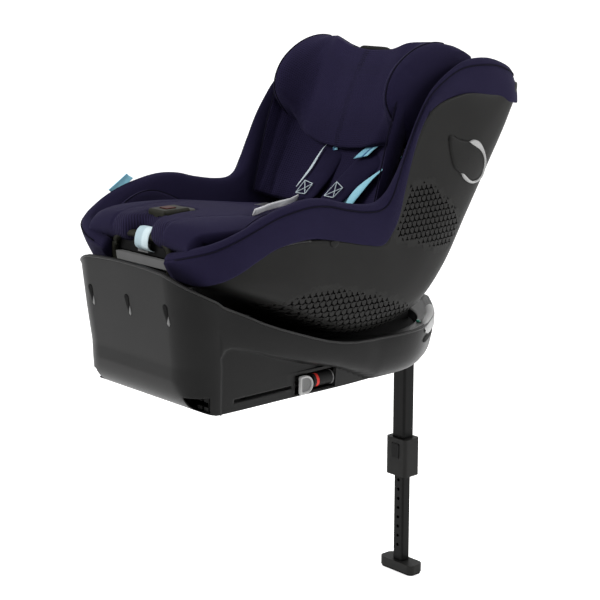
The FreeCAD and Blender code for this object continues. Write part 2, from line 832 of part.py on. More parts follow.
def side_soft_parts():
    inner_x, split_x, outer_x = size("side_inner_x"), size("side_split_x"), size("side_outer_x")
    floor_line = [(232, 520), (195, 470), (150, 420), (110, 370), (70, 310), (20, 250), (-30, 215),
                  (-105, 215), (-185, 232), (-265, 250), (-335, 262), (-398, 268)]
    inner = prism(RIDGE + floor_line[::-1], inner_x, split_x)
    both_sides("side_cushion", clear_of_shell(inner))
    outer = prism(RIDGE + EDGE_LINE, split_x + 0.5, outer_x)
    both_sides("side_cover", clear_of_shell(outer))
    node(feature("top_cover", top_cover()))


def top_cover():
    """Band of fabric round the top of the back, open towards the child."""
    wide = size("side_outer_x") - 6
    band = block((-wide, wide), (233, 352), (514, 563))
    band = band.makeFillet(90, [edge for edge in band.Edges if upright(edge) and edge.Vertexes[0].Y > 300])
    room = block((-wide + 16, wide - 16), (200, 334), (500, 600))
    room = room.makeFillet(76, [edge for edge in room.Edges if upright(edge) and edge.Vertexes[0].Y > 300])
    slope = prism([(225, 571), (285, 560), (360, 526), (360, 620), (225, 620)], -300, 300)
    return clear_of_shell(band.cut([room, slope]))


def upright(edge):
    return abs(abs(edge.Curve.Direction.z) - 1) < 1e-6


def seat_soft_parts():
    cushion = [(-428, 290), (-424, 312), (-405, 326), (-250, 318), (-100, 294), (-4, 286),
               (-4, 258), (-100, 262), (-250, 284), (-390, 288)]
    pocket = block((-26, 26), (-394, -332), (BUCKLE_FLOOR - 0.5, 340))
    node(feature("seat_cushion", clear_of_shell(prism(cushion, -168, 168)).cut([crotch_slot(), pocket])))
    core = [(-385, 230), (-335, 222), (-265, 196), (-185, 158), (-105, 128), (-20, 122), (40, 140),
            (70, 190), (60, 256), (-100, 260), (-250, 282), (-385, 284)]
    node(feature("seat_core", clear_of_shell(prism(core, -120, 120)).cut(crotch_slot())))
    back = [back_point(*spot) for spot in ((2, 0), (300, 0), (300, -28), (2, -28))]
    node(feature("back_cushion", prism(back, -118, 118)))
    core_back = [back_point(*spot) for spot in ((20, -30), (292, -30), (292, -75), (20, -75))]
    node(feature("back_core", clear_of_shell(prism(core_back, -118, 118))))
    twin("front_cover", block((88, 128), (-418, -406), (216, 284)))


def crotch_slot():
    return block((-22, 22), (-333, -290), (100, 400))


# -------------------------------------------------------------------- headrest

def back_prism(spots, x_low, x_high):
    """Prism over an outline given in backrest coordinates (along, out)."""
    return prism([back_point(*spot) for spot in spots], x_low, x_high)


def headrest_parts():
    wing = [(127, 17), (143, 49), (158, 80), (184, 101), (258, 95), (298, 67), (327, 28), (341, -20), (338, -78), (127, -60)]
    centre = [(124, 10), (118, 24), (126, 36), (290, 36), (296, 24), (290, 10)]
    body = back_prism(centre, -124, 124)
    for sign in (-1, 1):
        low, high = sorted((sign * 123.5, sign * 168))
        body = body.fuse(back_prism(wing, low, high))
    node(feature("headrest_cushion", body.removeSplitter()))
    frame = back_prism([(124, 2), (124, 9.5), (308, 9.5), (308, 2)], -118, 118)
    top = back_prism([(298, 9.5), (298, 30), (308, 30), (308, 9.5)], -60, 60)
    frame = frame.fuse(top).cut(back_prism([(312, 40), (278, 40), (278, 12), (312, 12)], -40.6, 40.6))
    node(feature("headrest_frame", frame))
    lever = back_prism([(298, 13), (298, 27), (316, 27), (316, 13)], -40, 40)
    node(feature("headrest_lever", lever))


# --------------------------------------------------------------------- harness

BUCKLE_FLOOR = 313


def strap(points, x_mid, half_width, thick):
    """Flat strap along a (y, z) route, of one thickness."""
    upper, lower = [], []
    for index, (y, z) in enumerate(points):
        before = points[max(index - 1, 0)]
        after = points[min(index + 1, len(points) - 1)]
        run = math.hypot(after[0] - before[0], after[1] - before[1])
        across = ((before[1] - after[1]) / run * thick / 2, (after[0] - before[0]) / run * thick / 2)
        upper.append((y + across[0], z + across[1]))
        lower.append((y - across[0], z - across[1]))
    return prism(upper + lower[::-1], x_mid - half_width, x_mid + half_width)


def harness_parts():
    """Buckle laid forward on the cushion; the straps end in tongues that lie behind it."""
    top = BUCKLE_FLOOR + 19
    buckle = block((-24, 24), (-392, -334), (BUCKLE_FLOOR, top))
    buckle = buckle.makeFillet(5, buckle.Edges)
    well = block((-10.6, 10.6), (-377, -355), (top - 10.5, top + 8))
    slots = [block(sorted((x * 6, x * 16)), (-400, -380), (BUCKLE_FLOOR + 5, BUCKLE_FLOOR + 9)) for x in (-1, 1)]
    node(feature("buckle_housing", buckle.cut([well] + slots)))
    node(feature("buckle_button", block((-10, 10), (-376, -356), (top - 6, top + 1.5))))
    web = BUCKLE_FLOOR + 9
    node(feature("crotch_strap", strap([(-333.5, web), (-312, web), (-300, web - 12), (-300, 250)], 0, 19, 4)))
    tongue = block((20, 48), (-130, -100.5), (302.5, 305.5)).fuse(block((29, 39), (-144, -130), (302.5, 305.5)))
    twin("buckle_tongues", tongue.removeSplitter())
    pad_outline = [(14, 2), (14, 13), (116, 13), (116, 2)]
    twin("shoulder_pads", back_prism(pad_outline, 30, 76))
    low = back_point(8, 6)
    shoulder = strap([(-99, low[1]), (-40, low[1]), low], 34, 16, 3)
    lap = block((46, 160), (-99, -65), (low[1] - 1.5, low[1] + 1.5))
    both_sides("harness_strap", shoulder.fuse(lap).removeSplitter())


def front_parts():
    housing = block((-84, 84), (-416, -405), (208, 286))
    well = block((-80, 80), (-420, -408.5), (238, 258))
    button_hole = block((-15, 15), (-420, -400), (261, 277))
    node(feature("front_housing", housing.cut([well, button_hole])))
    bar = block((-76, 76), (-424, -413), (241, 255))
    arms = [block((x * 54 - 5, x * 54 + 5), (-413, -409), (242, 254)) for x in (-1, 1)]
    node(feature("recline_handle", bar.fuse(arms).removeSplitter()))
    node(feature("adjuster_button", block((-14, 14), (-421, -408), (262, 276))))
    node(feature("adjuster_strap", block((-19, 19), (-434, -431.5), (248, 312))))


# -------------------------------------------------------------------- assembly

def nose_parts():
    both_sides("rotation_button", rotation_button(0, 3, -9))
    pin = Part.makeCylinder(5, 34, Vector(0, 172.6, 68), Vector(0, 1, 0))
    node(feature("lock_pin", pin))
    node(feature("status_window", status_window()))


def flap_parts():
    """Flap with a hinge rod along its straight front edge."""
    low, high = size("flap_inner_x"), size("flap_inner_x") + size("flap_thick")
    top, foot = flap_outline(0)[0], flap_outline(0)[-1]
    axis_x, radius = (low + high) / 2, (high - low) / 2
    start, end = Vector(axis_x, *foot), Vector(axis_x, *top)
    rod = Part.makeCylinder(radius, (end - start).Length, start, end - start)
    both_sides("side_impact_flap", prism(flap_outline(0), low, high).fuse(rod).removeSplitter())


def headrest_rods():
    twin("headrest_rods", back_prism([(40, -83), (40, -77), (300, -77), (300, -83)], 60, 66))


KEEP_CLEAR = bucket_loft(1.2)


def build():
    base_lower_shell()
    base_upper_shell()
    screws()
    anti_slip_pads()
    swivel_parts()
    nose_parts()
    support_leg()
    isofix_parts()
    seat_shell()
    twin("recline_runners", recline_runner())
    flap_parts()
    side_soft_parts()
    seat_soft_parts()
    headrest_parts()
    headrest_rods()
    harness_parts()
    front_parts()
    DOC.recompute()


def check_and_write():
    for item in DOC.Objects:
        if "Invalid" in item.State or "Error" in item.State:
            raise RuntimeError("%s failed: %s" % (item.Name, item.State))
    os.makedirs("parts", exist_ok=True)
    for item in NODES:
        if item.Shape.isNull() or not item.Shape.isValid():
            raise RuntimeError(item.Label + " is not a valid solid")
        item.Shape.exportStep("parts/%s.step" % item.Label)
    print(len(NODES), "nodes written")


build()
check_and_write()
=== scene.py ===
import math

import bpy
import numpy as np
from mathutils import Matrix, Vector
from mathutils.bvhtree import BVHTree


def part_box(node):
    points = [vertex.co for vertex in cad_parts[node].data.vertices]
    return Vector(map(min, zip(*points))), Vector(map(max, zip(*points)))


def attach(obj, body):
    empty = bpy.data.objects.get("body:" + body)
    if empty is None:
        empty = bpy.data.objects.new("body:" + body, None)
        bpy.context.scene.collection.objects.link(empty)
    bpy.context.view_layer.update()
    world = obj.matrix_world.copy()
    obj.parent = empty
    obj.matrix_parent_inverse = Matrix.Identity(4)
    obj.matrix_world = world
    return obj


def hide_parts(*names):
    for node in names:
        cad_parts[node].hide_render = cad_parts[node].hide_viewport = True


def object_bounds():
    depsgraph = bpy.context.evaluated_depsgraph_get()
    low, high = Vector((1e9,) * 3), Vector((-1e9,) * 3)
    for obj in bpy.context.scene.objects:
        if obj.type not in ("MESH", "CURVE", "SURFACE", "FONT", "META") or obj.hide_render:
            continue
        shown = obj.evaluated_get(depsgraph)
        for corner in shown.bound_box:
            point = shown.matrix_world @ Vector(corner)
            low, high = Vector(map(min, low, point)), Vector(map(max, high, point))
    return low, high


# Child car seat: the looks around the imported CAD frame.
# Shapes are written in millimetres in the row's frame and become metres in add_mesh().
# +X is the near ("left") side, -Y the rebound panel, +Y the support leg.

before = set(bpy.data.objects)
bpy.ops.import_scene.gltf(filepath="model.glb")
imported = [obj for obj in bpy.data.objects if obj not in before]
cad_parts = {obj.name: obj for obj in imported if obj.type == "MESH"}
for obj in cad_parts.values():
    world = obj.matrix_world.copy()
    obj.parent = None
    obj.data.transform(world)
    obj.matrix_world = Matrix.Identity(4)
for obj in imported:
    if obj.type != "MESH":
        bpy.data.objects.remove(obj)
CAD_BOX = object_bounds()

MM = 0.001
SIDES = {"left": 1, "right": -1}
BASE_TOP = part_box("base_upper_shell")
RIM_LEVEL = 84
PANEL_TOP = BASE_TOP[1].z / MM
PANEL_FRONT = -444
NOSE = 258
BOWL_RADIUS = 178
TUBE_SIDES = 8
CLOTH_STEPS = 20


# ------------------------------------------------------------------ curve and mesh tools

def spline(points, at):
    """Points of a smooth curve through the given ones, which count as 0, 1, 2 and so on."""
    points = np.asarray(points, float)
    at = np.clip(np.asarray(at, float), 0, len(points) - 1)
    first = np.minimum(at.astype(int), len(points) - 2)
    t = (at - first)[..., None]
    padded = np.vstack([2 * points[0] - points[1], points, 2 * points[-1] - points[-2]])
    before, start, end, after = (padded[first + step] for step in range(4))
    bend = 2 * before - 5 * start + 4 * end - after
    twist = 3 * start - before - 3 * end + after
    return 0.5 * (2 * start + (end - before) * t + bend * t ** 2 + twist * t ** 3)


def even_line(points, count, closed=False):
    """The smooth curve resampled into evenly spaced points."""
    points = np.asarray(points, float)
    if closed:
        points = np.vstack([points[-1], points, points[0], points[1]])
    low, high = (1, len(points) - 2) if closed else (0, len(points) - 1)
    dense = spline(points, np.linspace(low, high, 40 * len(points)))
    reach = np.concatenate([[0], np.cumsum(np.linalg.norm(np.diff(dense, axis=0), axis=1))])
    spots = np.linspace(0, reach[-1], count + 1)[:-1] if closed else np.linspace(0, reach[-1], count)
    return np.stack([np.interp(spots, reach, dense[:, axis]) for axis in range(dense.shape[1])], axis=1)


def smooth_step(value, low, high):
    share = np.clip((np.asarray(value, float) - low) / (high - low), 0, 1)
    return share * share * (3 - 2 * share)


def unit(vectors):
    vectors = np.asarray(vectors, float)
    return vectors / np.maximum(np.linalg.norm(vectors, axis=-1, keepdims=True), 1e-9)


def inside_depth(points, outline):
    """Distance in from a closed outline: above zero inside it, below zero outside."""
    points = np.asarray(points, float)
    starts = np.asarray(outline, float)
    ends = np.roll(starts, -1, axis=0)
    nearest = np.full(len(points), 1e9)
    crossings = np.zeros(len(points), int)
    for start, end in zip(starts, ends):
        run = end - start
        share = np.clip(((points - start) @ run) / max(run @ run, 1e-9), 0, 1)
        nearest = np.minimum(nearest, np.linalg.norm(points - start - share[:, None] * run, axis=1))
        spans = (start[1] > points[:, 1]) != (end[1] > points[:, 1])
        rise = run[1] if abs(run[1]) > 1e-9 else 1e-9
        crossings += spans & (points[:, 0] < start[0] + (points[:, 1] - start[1]) * run[0] / rise)
    return np.where(crossings % 2 == 1, nearest, -nearest)


def add_mesh(name, points, faces, body, looks, uv=None, choice=None):
    """Mesh piece from millimetre points, riding on a body."""
    mesh = bpy.data.meshes.new(name)
    mesh.from_pydata([tuple(point * MM) for point in np.asarray(points, float)], [], faces)
    for look in looks if isinstance(looks, (list, tuple)) else [looks]:
        mesh.materials.append(look)
    if choice is not None:
        mesh.polygons.foreach_set("material_index", np.asarray(choice, np.int32))
    if uv is not None:
        layer = mesh.uv_layers.new(name="surface")
        corners = np.empty(len(mesh.loops), np.int32)
        mesh.loops.foreach_get("vertex_index", corners)
        layer.data.foreach_set("uv", (np.asarray(uv, float)[corners] * MM).astype(np.float32).ravel())
    mesh.polygons.foreach_set("use_smooth", [True] * len(mesh.polygons))
    mesh.validate()
    mesh.update()
    piece = bpy.data.objects.new(name, mesh)
    bpy.context.scene.collection.objects.link(piece)
    if body:
        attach(piece, body)
    return piece


def running_length(rows, axis):
    """Distance walked along one axis of a grid of points, from its first one."""
    steps = np.linalg.norm(np.diff(rows, axis=axis), axis=2)
    return np.cumsum(np.insert(steps, 0, 0, axis=axis), axis=axis)


def surface(name, rows, body, looks, wrap=False, cap=None, keep=None, choose=None):
    """Quad surface over rows of points, wrapped into a loop of columns if asked.

    cap is the column the two ends are zipped up from, in strips across the section.
    keep and choose take arrays of face rows and columns.
    """
    rows = np.asarray(rows, float)
    count, width = rows.shape[:2]
    row, column = np.meshgrid(np.arange(count - 1), np.arange(width if wrap else width - 1), indexing="ij")
    row, column = row.ravel(), column.ravel()
    if keep is not None:
        wanted = keep(row, column)
        row, column = row[wanted], column[wanted]
    after = (column + 1) % width
    faces = np.stack([row * width + column, row * width + after,
                      (row + 1) * width + after, (row + 1) * width + column], axis=1).tolist()
    choice = list(choose(row, column)) if choose is not None else [0] * len(faces)
    across = running_length(rows, 1)
    across -= across[:, width // 2:width // 2 + 1]
    along = running_length(rows, 0).mean(axis=1, keepdims=True)
    uv = np.stack([across, np.broadcast_to(along, across.shape)], axis=2).reshape(-1, 2)
    if cap is not None:
        final = (count - 1) * width
        for step in range(width // 2 - 1):
            corners = [(cap + turn) % width for turn in (step, step + 1, -step - 2, -step - 1)]
            faces.append(corners[::-1])
            faces.append([final + corner for corner in corners])
            choice += [choice[0], choice[-1]]
    points = rows.reshape(-1, 3)
    return add_mesh(name, points, faces, body, looks, uv, choice)


def tube(name, line, radius, body, look):
    """Round bead or piping along a line of points."""
    line = np.asarray(line, float)
    run = unit(np.gradient(line, axis=0))
    guide = np.where(np.abs(run[:, 2:3]) > 0.9, [[1.0, 0, 0]], [[0, 0, 1.0]])
    side = unit(np.cross(run, guide))
    up = np.cross(side, run)
    turn = np.linspace(0, 2 * np.pi, TUBE_SIDES, endpoint=False)
    ring = side[:, None] * np.cos(turn)[None, :, None] + up[:, None] * np.sin(turn)[None, :, None]
    rows = line[:, None] + ring * np.reshape(radius, (-1, 1, 1))
    return surface(name, rows, body, look, wrap=True, cap=0)


def ribbon(name, line, across, width, thick, body, look):
    """Flat webbing along a line; across gives its width direction at each point."""
    line = np.asarray(line, float)
    across = unit(np.broadcast_to(np.asarray(across, float), line.shape))
    normal = unit(np.cross(unit(np.gradient(line, axis=0)), across))
    half = np.reshape(width, (-1, 1)) / 2 * np.ones((len(line), 1))
    loop = []
    steps = np.linspace(-1, 1, 9)
    for side in (1, -1):
        for step in steps * side:
            edge = math.sqrt(max(1 - abs(step) ** 6, 0.05))
            loop.append(line + across * half * step + normal * side * thick / 2 * edge)
    return surface(name, np.stack(loop, axis=1), body, look, wrap=True, cap=0)


def mirrored(rows):
    """Points of the near side, then their mirror images back to the start."""
    return np.concatenate([rows, rows[-2::-1] * [-1, 1, 1]])


def piping(name, line, radius, body="bucket"):
    """Bead sewn along a seam."""
    tube(name, line, radius, body, LOOKS["seam"])


def thread(name, line, body):
    """Line of pale stitches."""
    tube(name, line, 0.8, body, LOOKS["thread"])


def thicken(piece, depth, offset=-1):
    solid = piece.modifiers.new("thickness", "SOLIDIFY")
    solid.thickness = depth * MM
    solid.offset = offset
    return piece


def refine(piece):
    finer = piece.modifiers.new("subdivision", "SUBSURF")
    finer.levels = 1
    finer.render_levels = 1


def puff(piece, pinned, pressure=4.0, cap=6.0):
    """Blows a closed fabric piece up by at most cap mm; the pinned points stay put."""
    mesh = piece.data
    before = np.empty(len(mesh.vertices) * 3)
    mesh.vertices.foreach_get("co", before)
    before = before.reshape(-1, 3)
    pins = piece.vertex_groups.new(name="pins")
    pins.add([int(number) for number in pinned], 1.0, "REPLACE")
    cloth = piece.modifiers.new("cloth", "CLOTH")
    cloth.settings.quality = 4
    cloth.settings.mass = 0.25
    cloth.settings.vertex_group_mass = "pins"
    cloth.settings.use_pressure = True
    cloth.settings.uniform_pressure_force = pressure
    cloth.settings.effector_weights.gravity = 0
    cloth.point_cache.frame_start = 1
    cloth.point_cache.frame_end = CLOTH_STEPS
    for step in range(1, CLOTH_STEPS + 1):
        bpy.context.scene.frame_set(step)
    shown = piece.evaluated_get(bpy.context.evaluated_depsgraph_get())
    after = np.empty(len(mesh.vertices) * 3)
    shown.data.vertices.foreach_get("co", after)
    move = after.reshape(-1, 3) - before
    reach = np.linalg.norm(move, axis=1, keepdims=True)
    limit = cap * MM * np.tanh(reach / (cap * MM))
    placed = before + unit(move) * limit
    piece.modifiers.remove(cloth)
    bpy.context.scene.frame_set(1)
    mesh.vertices.foreach_set("co", placed.ravel())
    mesh.update()


def hits(tree, spots, side, lift):
    """Where rays along X meet a surface at (y, z) spots on one side, raised off it."""
    found = []
    for y, z in spots:
        start = Vector((side * 300, y, z))
        place, normal, _, _ = tree.ray_cast(start, Vector((-side, 0, 0)))
        if place is None:
            place, normal, _, _ = tree.find_nearest(Vector((side * 210, y, z)))
        if normal.x * side < 0:
            normal = -normal
        found.append(np.array(place) + np.array(normal) * lift)
    return np.array(found)


def patch(name, tree, outline, side, lift, body, looks, dome=0.0, edge=2.0, rings=7):
    """Thin piece laid on a surface: rings shrink from its outline to its middle."""
    outline = np.asarray(outline, float)
    middle = outline.mean(axis=0)
    rows = [hits(tree, outline, side, lift - edge)]
    for share in np.linspace(1, 0.02, rings):
        spots = middle + (outline - middle) * share
        rows.append(hits(tree, spots, side, lift + dome * (1 - share ** 2)))
    return surface(name, np.array(rows), body, looks, wrap=True)


# ------------------------------------------------------------------ materials

def new_look(name, roughness, **settings):
    look = bpy.data.materials.new(name)
    look.use_nodes = True
    shader = look.node_tree.nodes["Principled BSDF"]
    shader.inputs["Roughness"].default_value = roughness
    for label, value in settings.items():
        shader.inputs[label.replace("_", " ")].default_value = value
    return look, look.node_tree, shader


def add_node(tree, kind, **values):
    """Node whose inputs are set from values or linked from other nodes' sockets."""
    item = tree.nodes.new("ShaderNode" + kind)
    for label, value in values.items():
        label = int(label[1:]) if label[0] == "i" and label[1:].isdigit() else label.replace("_", " ")
        if isinstance(value, bpy.types.NodeSocket):
            tree.links.new(value, item.inputs[label])
        else:
            item.inputs[label].default_value = value
    return item


def math_node(tree, operation, first, second=0.0):
    item = add_node(tree, "Math", i0=first, i1=second)
    item.operation = operation
    return item.outputs[0]


def weighted(tree, *parts):
    """Sum of (value, weight) parts."""
    total = None
    for value, weight in parts:
        scaled = math_node(tree, "MULTIPLY", value, weight)
        total = scaled if total is None else math_node(tree, "ADD", total, scaled)
    return total


def place_of(tree, kind):
    return tree.nodes.new("ShaderNodeTexCoord").outputs[kind]


def noise(tree, where, scale, detail=2.0):
    return add_node(tree, "TexNoise", Vector=where, Scale=scale, Detail=detail).outputs[0]


def stripes(tree, where, pitch, direction):
    """Sine ribs of one pitch, in metres, across X, Y or the diagonal."""
    item = add_node(tree, "TexWave", Vector=where, Scale=2 * math.pi / 20 / pitch)
    item.bands_direction = direction
    return item.outputs["Fac"]


def ramp(tree, value, stops):
    """Colour ramp from (position, colour) stops."""
    item = add_node(tree, "ValToRGB", Fac=value)
    while len(item.color_ramp.elements) < len(stops):
        item.color_ramp.elements.new(0.5)
    for element, (position, colour) in zip(item.color_ramp.elements, stops):
        element.position = position
        element.color = (*colour, 1.0)
    return item.outputs[0]


def bump(tree, shader, height, distance, strength=1.0):
    item = add_node(tree, "Bump", Height=height, Distance=distance, Strength=strength)
    tree.links.new(item.outputs[0], shader.inputs["Normal"])


def tint(tree, shader, value, dark, light):
    tree.links.new(ramp(tree, value, [(0.0, dark), (1.0, light)]), shader.inputs["Base Color"])


def plastic(name, dark, light, roughness):
    """Moulded plastic: fine spark-eroded grain, a slow drift of tone and a painted highlight on sharp edges.
    """
    look, tree, shader = new_look(name, roughness, Specular_IOR_Level=0.11)
    where = place_of(tree, "Object")
    drift = noise(tree, where, 9, 3)
    speck = noise(tree, where, 1300, 2)
    edges = tree.nodes.new("ShaderNodeNewGeometry").outputs["Pointiness"]
    # Painted highlight: sharp convex edges are tinted lighter.
    edge_highlight = ramp(tree, edges, [(0.50, (0, 0, 0)), (0.62, (1, 1, 1))])
    tint(tree, shader, weighted(tree, (drift, 0.55), (speck, 0.25), (edge_highlight, 0.35)), dark, light)
    bump(tree, shader, speck, 0.00012)
    return look


def fabric(name, dark, light, pattern, pitch, depth, sheen=0.05):
    """Cloth on the surface's own coordinates: plain weave, ribs or an open mesh knit."""
    look, tree, shader = new_look(name, 0.9, Sheen_Weight=sheen, Sheen_Roughness=0.4,
                                  Specular_IOR_Level=0.08)
    shader.inputs["Sheen Tint"].default_value = (0.45, 0.42, 0.75, 1)
    where = place_of(tree, "UV")
    warp, weft = stripes(tree, where, pitch, "X"), stripes(tree, where, pitch, "Y")
    if pattern == "ribs":
        fine = stripes(tree, where, pitch / 3, "Y")
        height = math_node(tree, "ADD", warp, math_node(tree, "MULTIPLY", fine, 0.25))
    elif pattern == "knit":
        holes = math_node(tree, "MULTIPLY", warp, weft)
        height = math_node(tree, "SUBTRACT", 1.0, math_node(tree, "POWER", holes, 1.5))
    else:
        height = math_node(tree, "MULTIPLY", math_node(tree, "ADD", warp, weft), 0.5)
    melange = noise(tree, place_of(tree, "Object"), 420, 3)
    drift = noise(tree, place_of(tree, "Object"), 7, 2)
    tint(tree, shader, weighted(tree, (height, 0.5), (melange, 0.3), (drift, 0.25)), dark, light)
    fuzz = math_node(tree, "ADD", height, math_node(tree, "MULTIPLY", melange, 0.6))
    bump(tree, shader, fuzz, depth)
    return look


def webbing(name, stops):
    """Woven strap: colour bands across its width, given as (share of 40 mm, colour) stops."""
    look, tree, shader = new_look(name, 0.6, Sheen_Weight=0.05, Specular_IOR_Level=0.2)
    where = place_of(tree, "UV")
    spot = add_node(tree, "SeparateXYZ", Vector=where).outputs[0]
    share = math_node(tree, "ADD", math_node(tree, "MULTIPLY", spot, 1 / (40 * MM)), 0.5)
    bands = ramp(tree, share, stops)
    twill = stripes(tree, where, 1.6 * MM, "DIAGONAL")
    shade = ramp(tree, twill, [(0.0, (0.72, 0.72, 0.72)), (1.0, (1, 1, 1))])
    mixed = tree.nodes.new("ShaderNodeMix")
    mixed.data_type = "RGBA"
    mixed.blend_type = "MULTIPLY"
    mixed.inputs[0].default_value = 1.0
    tree.links.new(bands, mixed.inputs[6])
    tree.links.new(shade, mixed.inputs[7])
    tree.links.new(mixed.outputs[2], shader.inputs["Base Color"])
    bump(tree, shader, twill, 0.0003)
    return look


def metal(name, dark, light, roughness, brushed):
    """Brushed bare metal, or a painted or rubber skin with a fine even grain."""
    metallic, specular, stretch, scale, depth = (
        (1.0, 0.5, (1, 1, 14), 160, 0.0002) if brushed else (0.0, 0.12, (1, 1, 1), 900, 0.00015))
    look, tree, shader = new_look(name, roughness, Metallic=metallic, Specular_IOR_Level=specular)
    where = place_of(tree, "Object")
    stretched = add_node(tree, "Mapping", Vector=where, Scale=stretch).outputs[0]
    lines = noise(tree, stretched, scale, 3)
    tint(tree, shader, lines, dark, light)
    bump(tree, shader, lines, depth)
    return look


def glossy(name, dark, light):
    look, tree, shader = new_look(name, 0.18, Coat_Weight=0.6, Specular_IOR_Level=0.6)
    where = place_of(tree, "Object")
    tint(tree, shader, noise(tree, where, 120, 2), dark, light)
    bump(tree, shader, noise(tree, where, 600, 2), 0.00005)
    return look


STRAP_EDGE, STRAP_STRIPE, STRAP_MIDDLE = (0.22, 0.50, 0.64), (0.02, 0.10, 0.25), (0.29, 0.62, 0.76)
LOOKS = {
    "weave": fabric("navy_weave", (0.0030, 0.0024, 0.0085), (0.0150, 0.0118, 0.0380), "weave",
                    1.1 * MM, 0.0002),
    "knit": fabric("navy_mesh_knit", (0.0010, 0.0008, 0.0032), (0.0165, 0.0130, 0.0400), "knit",
                   4.2 * MM, 0.0009),
    "ribs": fabric("navy_ribbed", (0.0012, 0.0010, 0.0040), (0.0180, 0.0142, 0.0420), "ribs",
                   5.0 * MM, 0.0009),
    "seam": fabric("navy_piping", (0.0010, 0.0008, 0.0030), (0.0045, 0.0035, 0.0120), "weave",
                   1.2 * MM, 0.0003, 0.02),
    "base": plastic("base_plastic", (0.0030, 0.0030, 0.0030), (0.0130, 0.0130, 0.0129), 0.38),
    "shell": plastic("shell_plastic", (0.0045, 0.0044, 0.0042), (0.0140, 0.0138, 0.0131), 0.48),
    # Painted highlight: the rim bead and the shell lip are tinted lighter than the plastic around them.
    "bead": plastic("edge_highlight_plastic", (0.012, 0.012, 0.012), (0.036, 0.036, 0.036), 0.33),
    # Painted shade: near-black plastic laid where shade falls, in the bowl, the sunk shell fields, the key
    # holes and under the paddles.
    "painted_shade": plastic("shadow_plastic", (0.0006, 0.0006, 0.0006), (0.0020, 0.0020, 0.0020), 0.8),
    "inner": plastic("inner_plastic", (0.003, 0.003, 0.003), (0.011, 0.011, 0.011), 0.6),
    "olive": plastic("soft_trim", (0.006, 0.006, 0.0035), (0.020, 0.0195, 0.0145), 0.55),
    "grey": plastic("grey_lever_plastic", (0.24, 0.24, 0.24), (0.46, 0.46, 0.455), 0.4),
    "dim_grey": plastic("grey_inset_plastic", (0.085, 0.085, 0.085), (0.19, 0.19, 0.19), 0.45),
    "red": plastic("red_plastic", (0.28, 0.012, 0.010), (0.50, 0.035, 0.028), 0.4),
    "dark_red": plastic("dark_red_plastic", (0.018, 0.003, 0.002), (0.045, 0.006, 0.005), 0.5),
    "green": glossy("green_window", (0.02, 0.16, 0.11), (0.06, 0.36, 0.25)),
    "steel": metal("steel", (0.35, 0.35, 0.36), (0.62, 0.62, 0.63), 0.32, True),
    "leg": metal("leg_coating", (0.0004, 0.0004, 0.0004), (0.0014, 0.0014, 0.0014), 0.5, False),
    "rubber": metal("rubber", (0.003, 0.003, 0.003), (0.010, 0.010, 0.010), 0.8, False),
    "pale_webbing": webbing("pale_webbing", [
        (0.0, (0.40, 0.52, 0.57)), (0.08, (0.58, 0.70, 0.74)), (0.92, (0.62, 0.73, 0.77)),
        (1.0, (0.42, 0.54, 0.58))]),
    "white_webbing": webbing("white_webbing", [
        (0.0, (0.55, 0.55, 0.57)), (0.1, (0.72, 0.72, 0.74)), (0.9, (0.72, 0.72, 0.74)),
        (1.0, (0.5, 0.5, 0.52))]),
    "blue_webbing": webbing("blue_webbing", [
        (0.10, STRAP_EDGE), (0.16, STRAP_STRIPE), (0.24, STRAP_STRIPE), (0.30, STRAP_MIDDLE),
        (0.70, STRAP_MIDDLE), (0.76, STRAP_STRIPE), (0.84, STRAP_STRIPE), (0.90, STRAP_EDGE)]),
    "teal_webbing": webbing("teal_webbing", [
        (0.0, (0.03, 0.15, 0.22)), (0.45, (0.08, 0.30, 0.38)), (0.52, (0.26, 0.58, 0.70)),
        (1.0, (0.33, 0.66, 0.78))]),
    "dark_webbing": webbing("dark_webbing", [
        (0.0, (0.010, 0.010, 0.008)), (0.5, (0.028, 0.028, 0.022)), (1.0, (0.010, 0.010, 0.008))]),
    "thread": webbing("pale_thread", [(0.0, (0.42, 0.50, 0.54)), (1.0, (0.62, 0.70, 0.74))]),
    "blue_label": fabric("blue_label", (0.16, 0.42, 0.55), (0.34, 0.66, 0.80), "weave",
                         0.8 * MM, 0.0002, 0.1),
    "black_label": fabric("black_label", (0.003, 0.003, 0.003), (0.012, 0.012, 0.013), "ribs",
                          1.5 * MM, 0.0003, 0.1),
}


# ------------------------------------------------------------------ camera, light and stage

def look_towards(place, target):
    return (Vector(target) - Vector(place)).to_track_quat("-Z", "Y").to_euler()


AZIMUTH = math.radians(48)


def camera_and_light():
    """Camera at the view's azimuth and elevation, four soft lamps and an even studio light."""
    elevation, distance = math.radians(13), 3.0337
    aim = Vector((0, -0.060, 0.122))
    level = math.cos(elevation)
    back = Vector((math.sin(AZIMUTH) * level, -math.cos(AZIMUTH) * level, math.sin(elevation)))
    data = bpy.data.cameras.new("camera")
    data.lens = 97.2
    data.sensor_width = 36
    camera = bpy.data.objects.new("camera", data)
    camera.location = aim + back * distance
    camera.rotation_euler = look_towards(camera.location, aim)
    bpy.context.scene.collection.objects.link(camera)
    bpy.context.scene.camera = camera
    bpy.context.scene.view_settings.view_transform = "Standard"
    lamps = {
        "key": ((-1.2, -2.6, 2.2), 1.5, 88),
        "side": ((3.0, 0.4, 1.5), 1.4, 30),
        "top": ((0.3, 0.6, 2.8), 2.2, 40),
        "rim": ((1.8, 2.4, 1.4), 1.2, 26),
    }
    for name, (place, width, power) in lamps.items():
        lamp = bpy.data.lights.new(name, "AREA")
        lamp.size = width
        lamp.energy = power
        item = bpy.data.objects.new(name, lamp)
        item.location = place
        item.rotation_euler = look_towards(place, (0, 0, 0.15))
        bpy.context.scene.collection.objects.link(item)
    world = bpy.data.worlds.new("studio")
    world.use_nodes = True
    world.node_tree.nodes["Background"].inputs[0].default_value = (1, 1, 1, 1)
    world.node_tree.nodes["Background"].inputs[1].default_value = 0.42
    bpy.context.scene.world = world


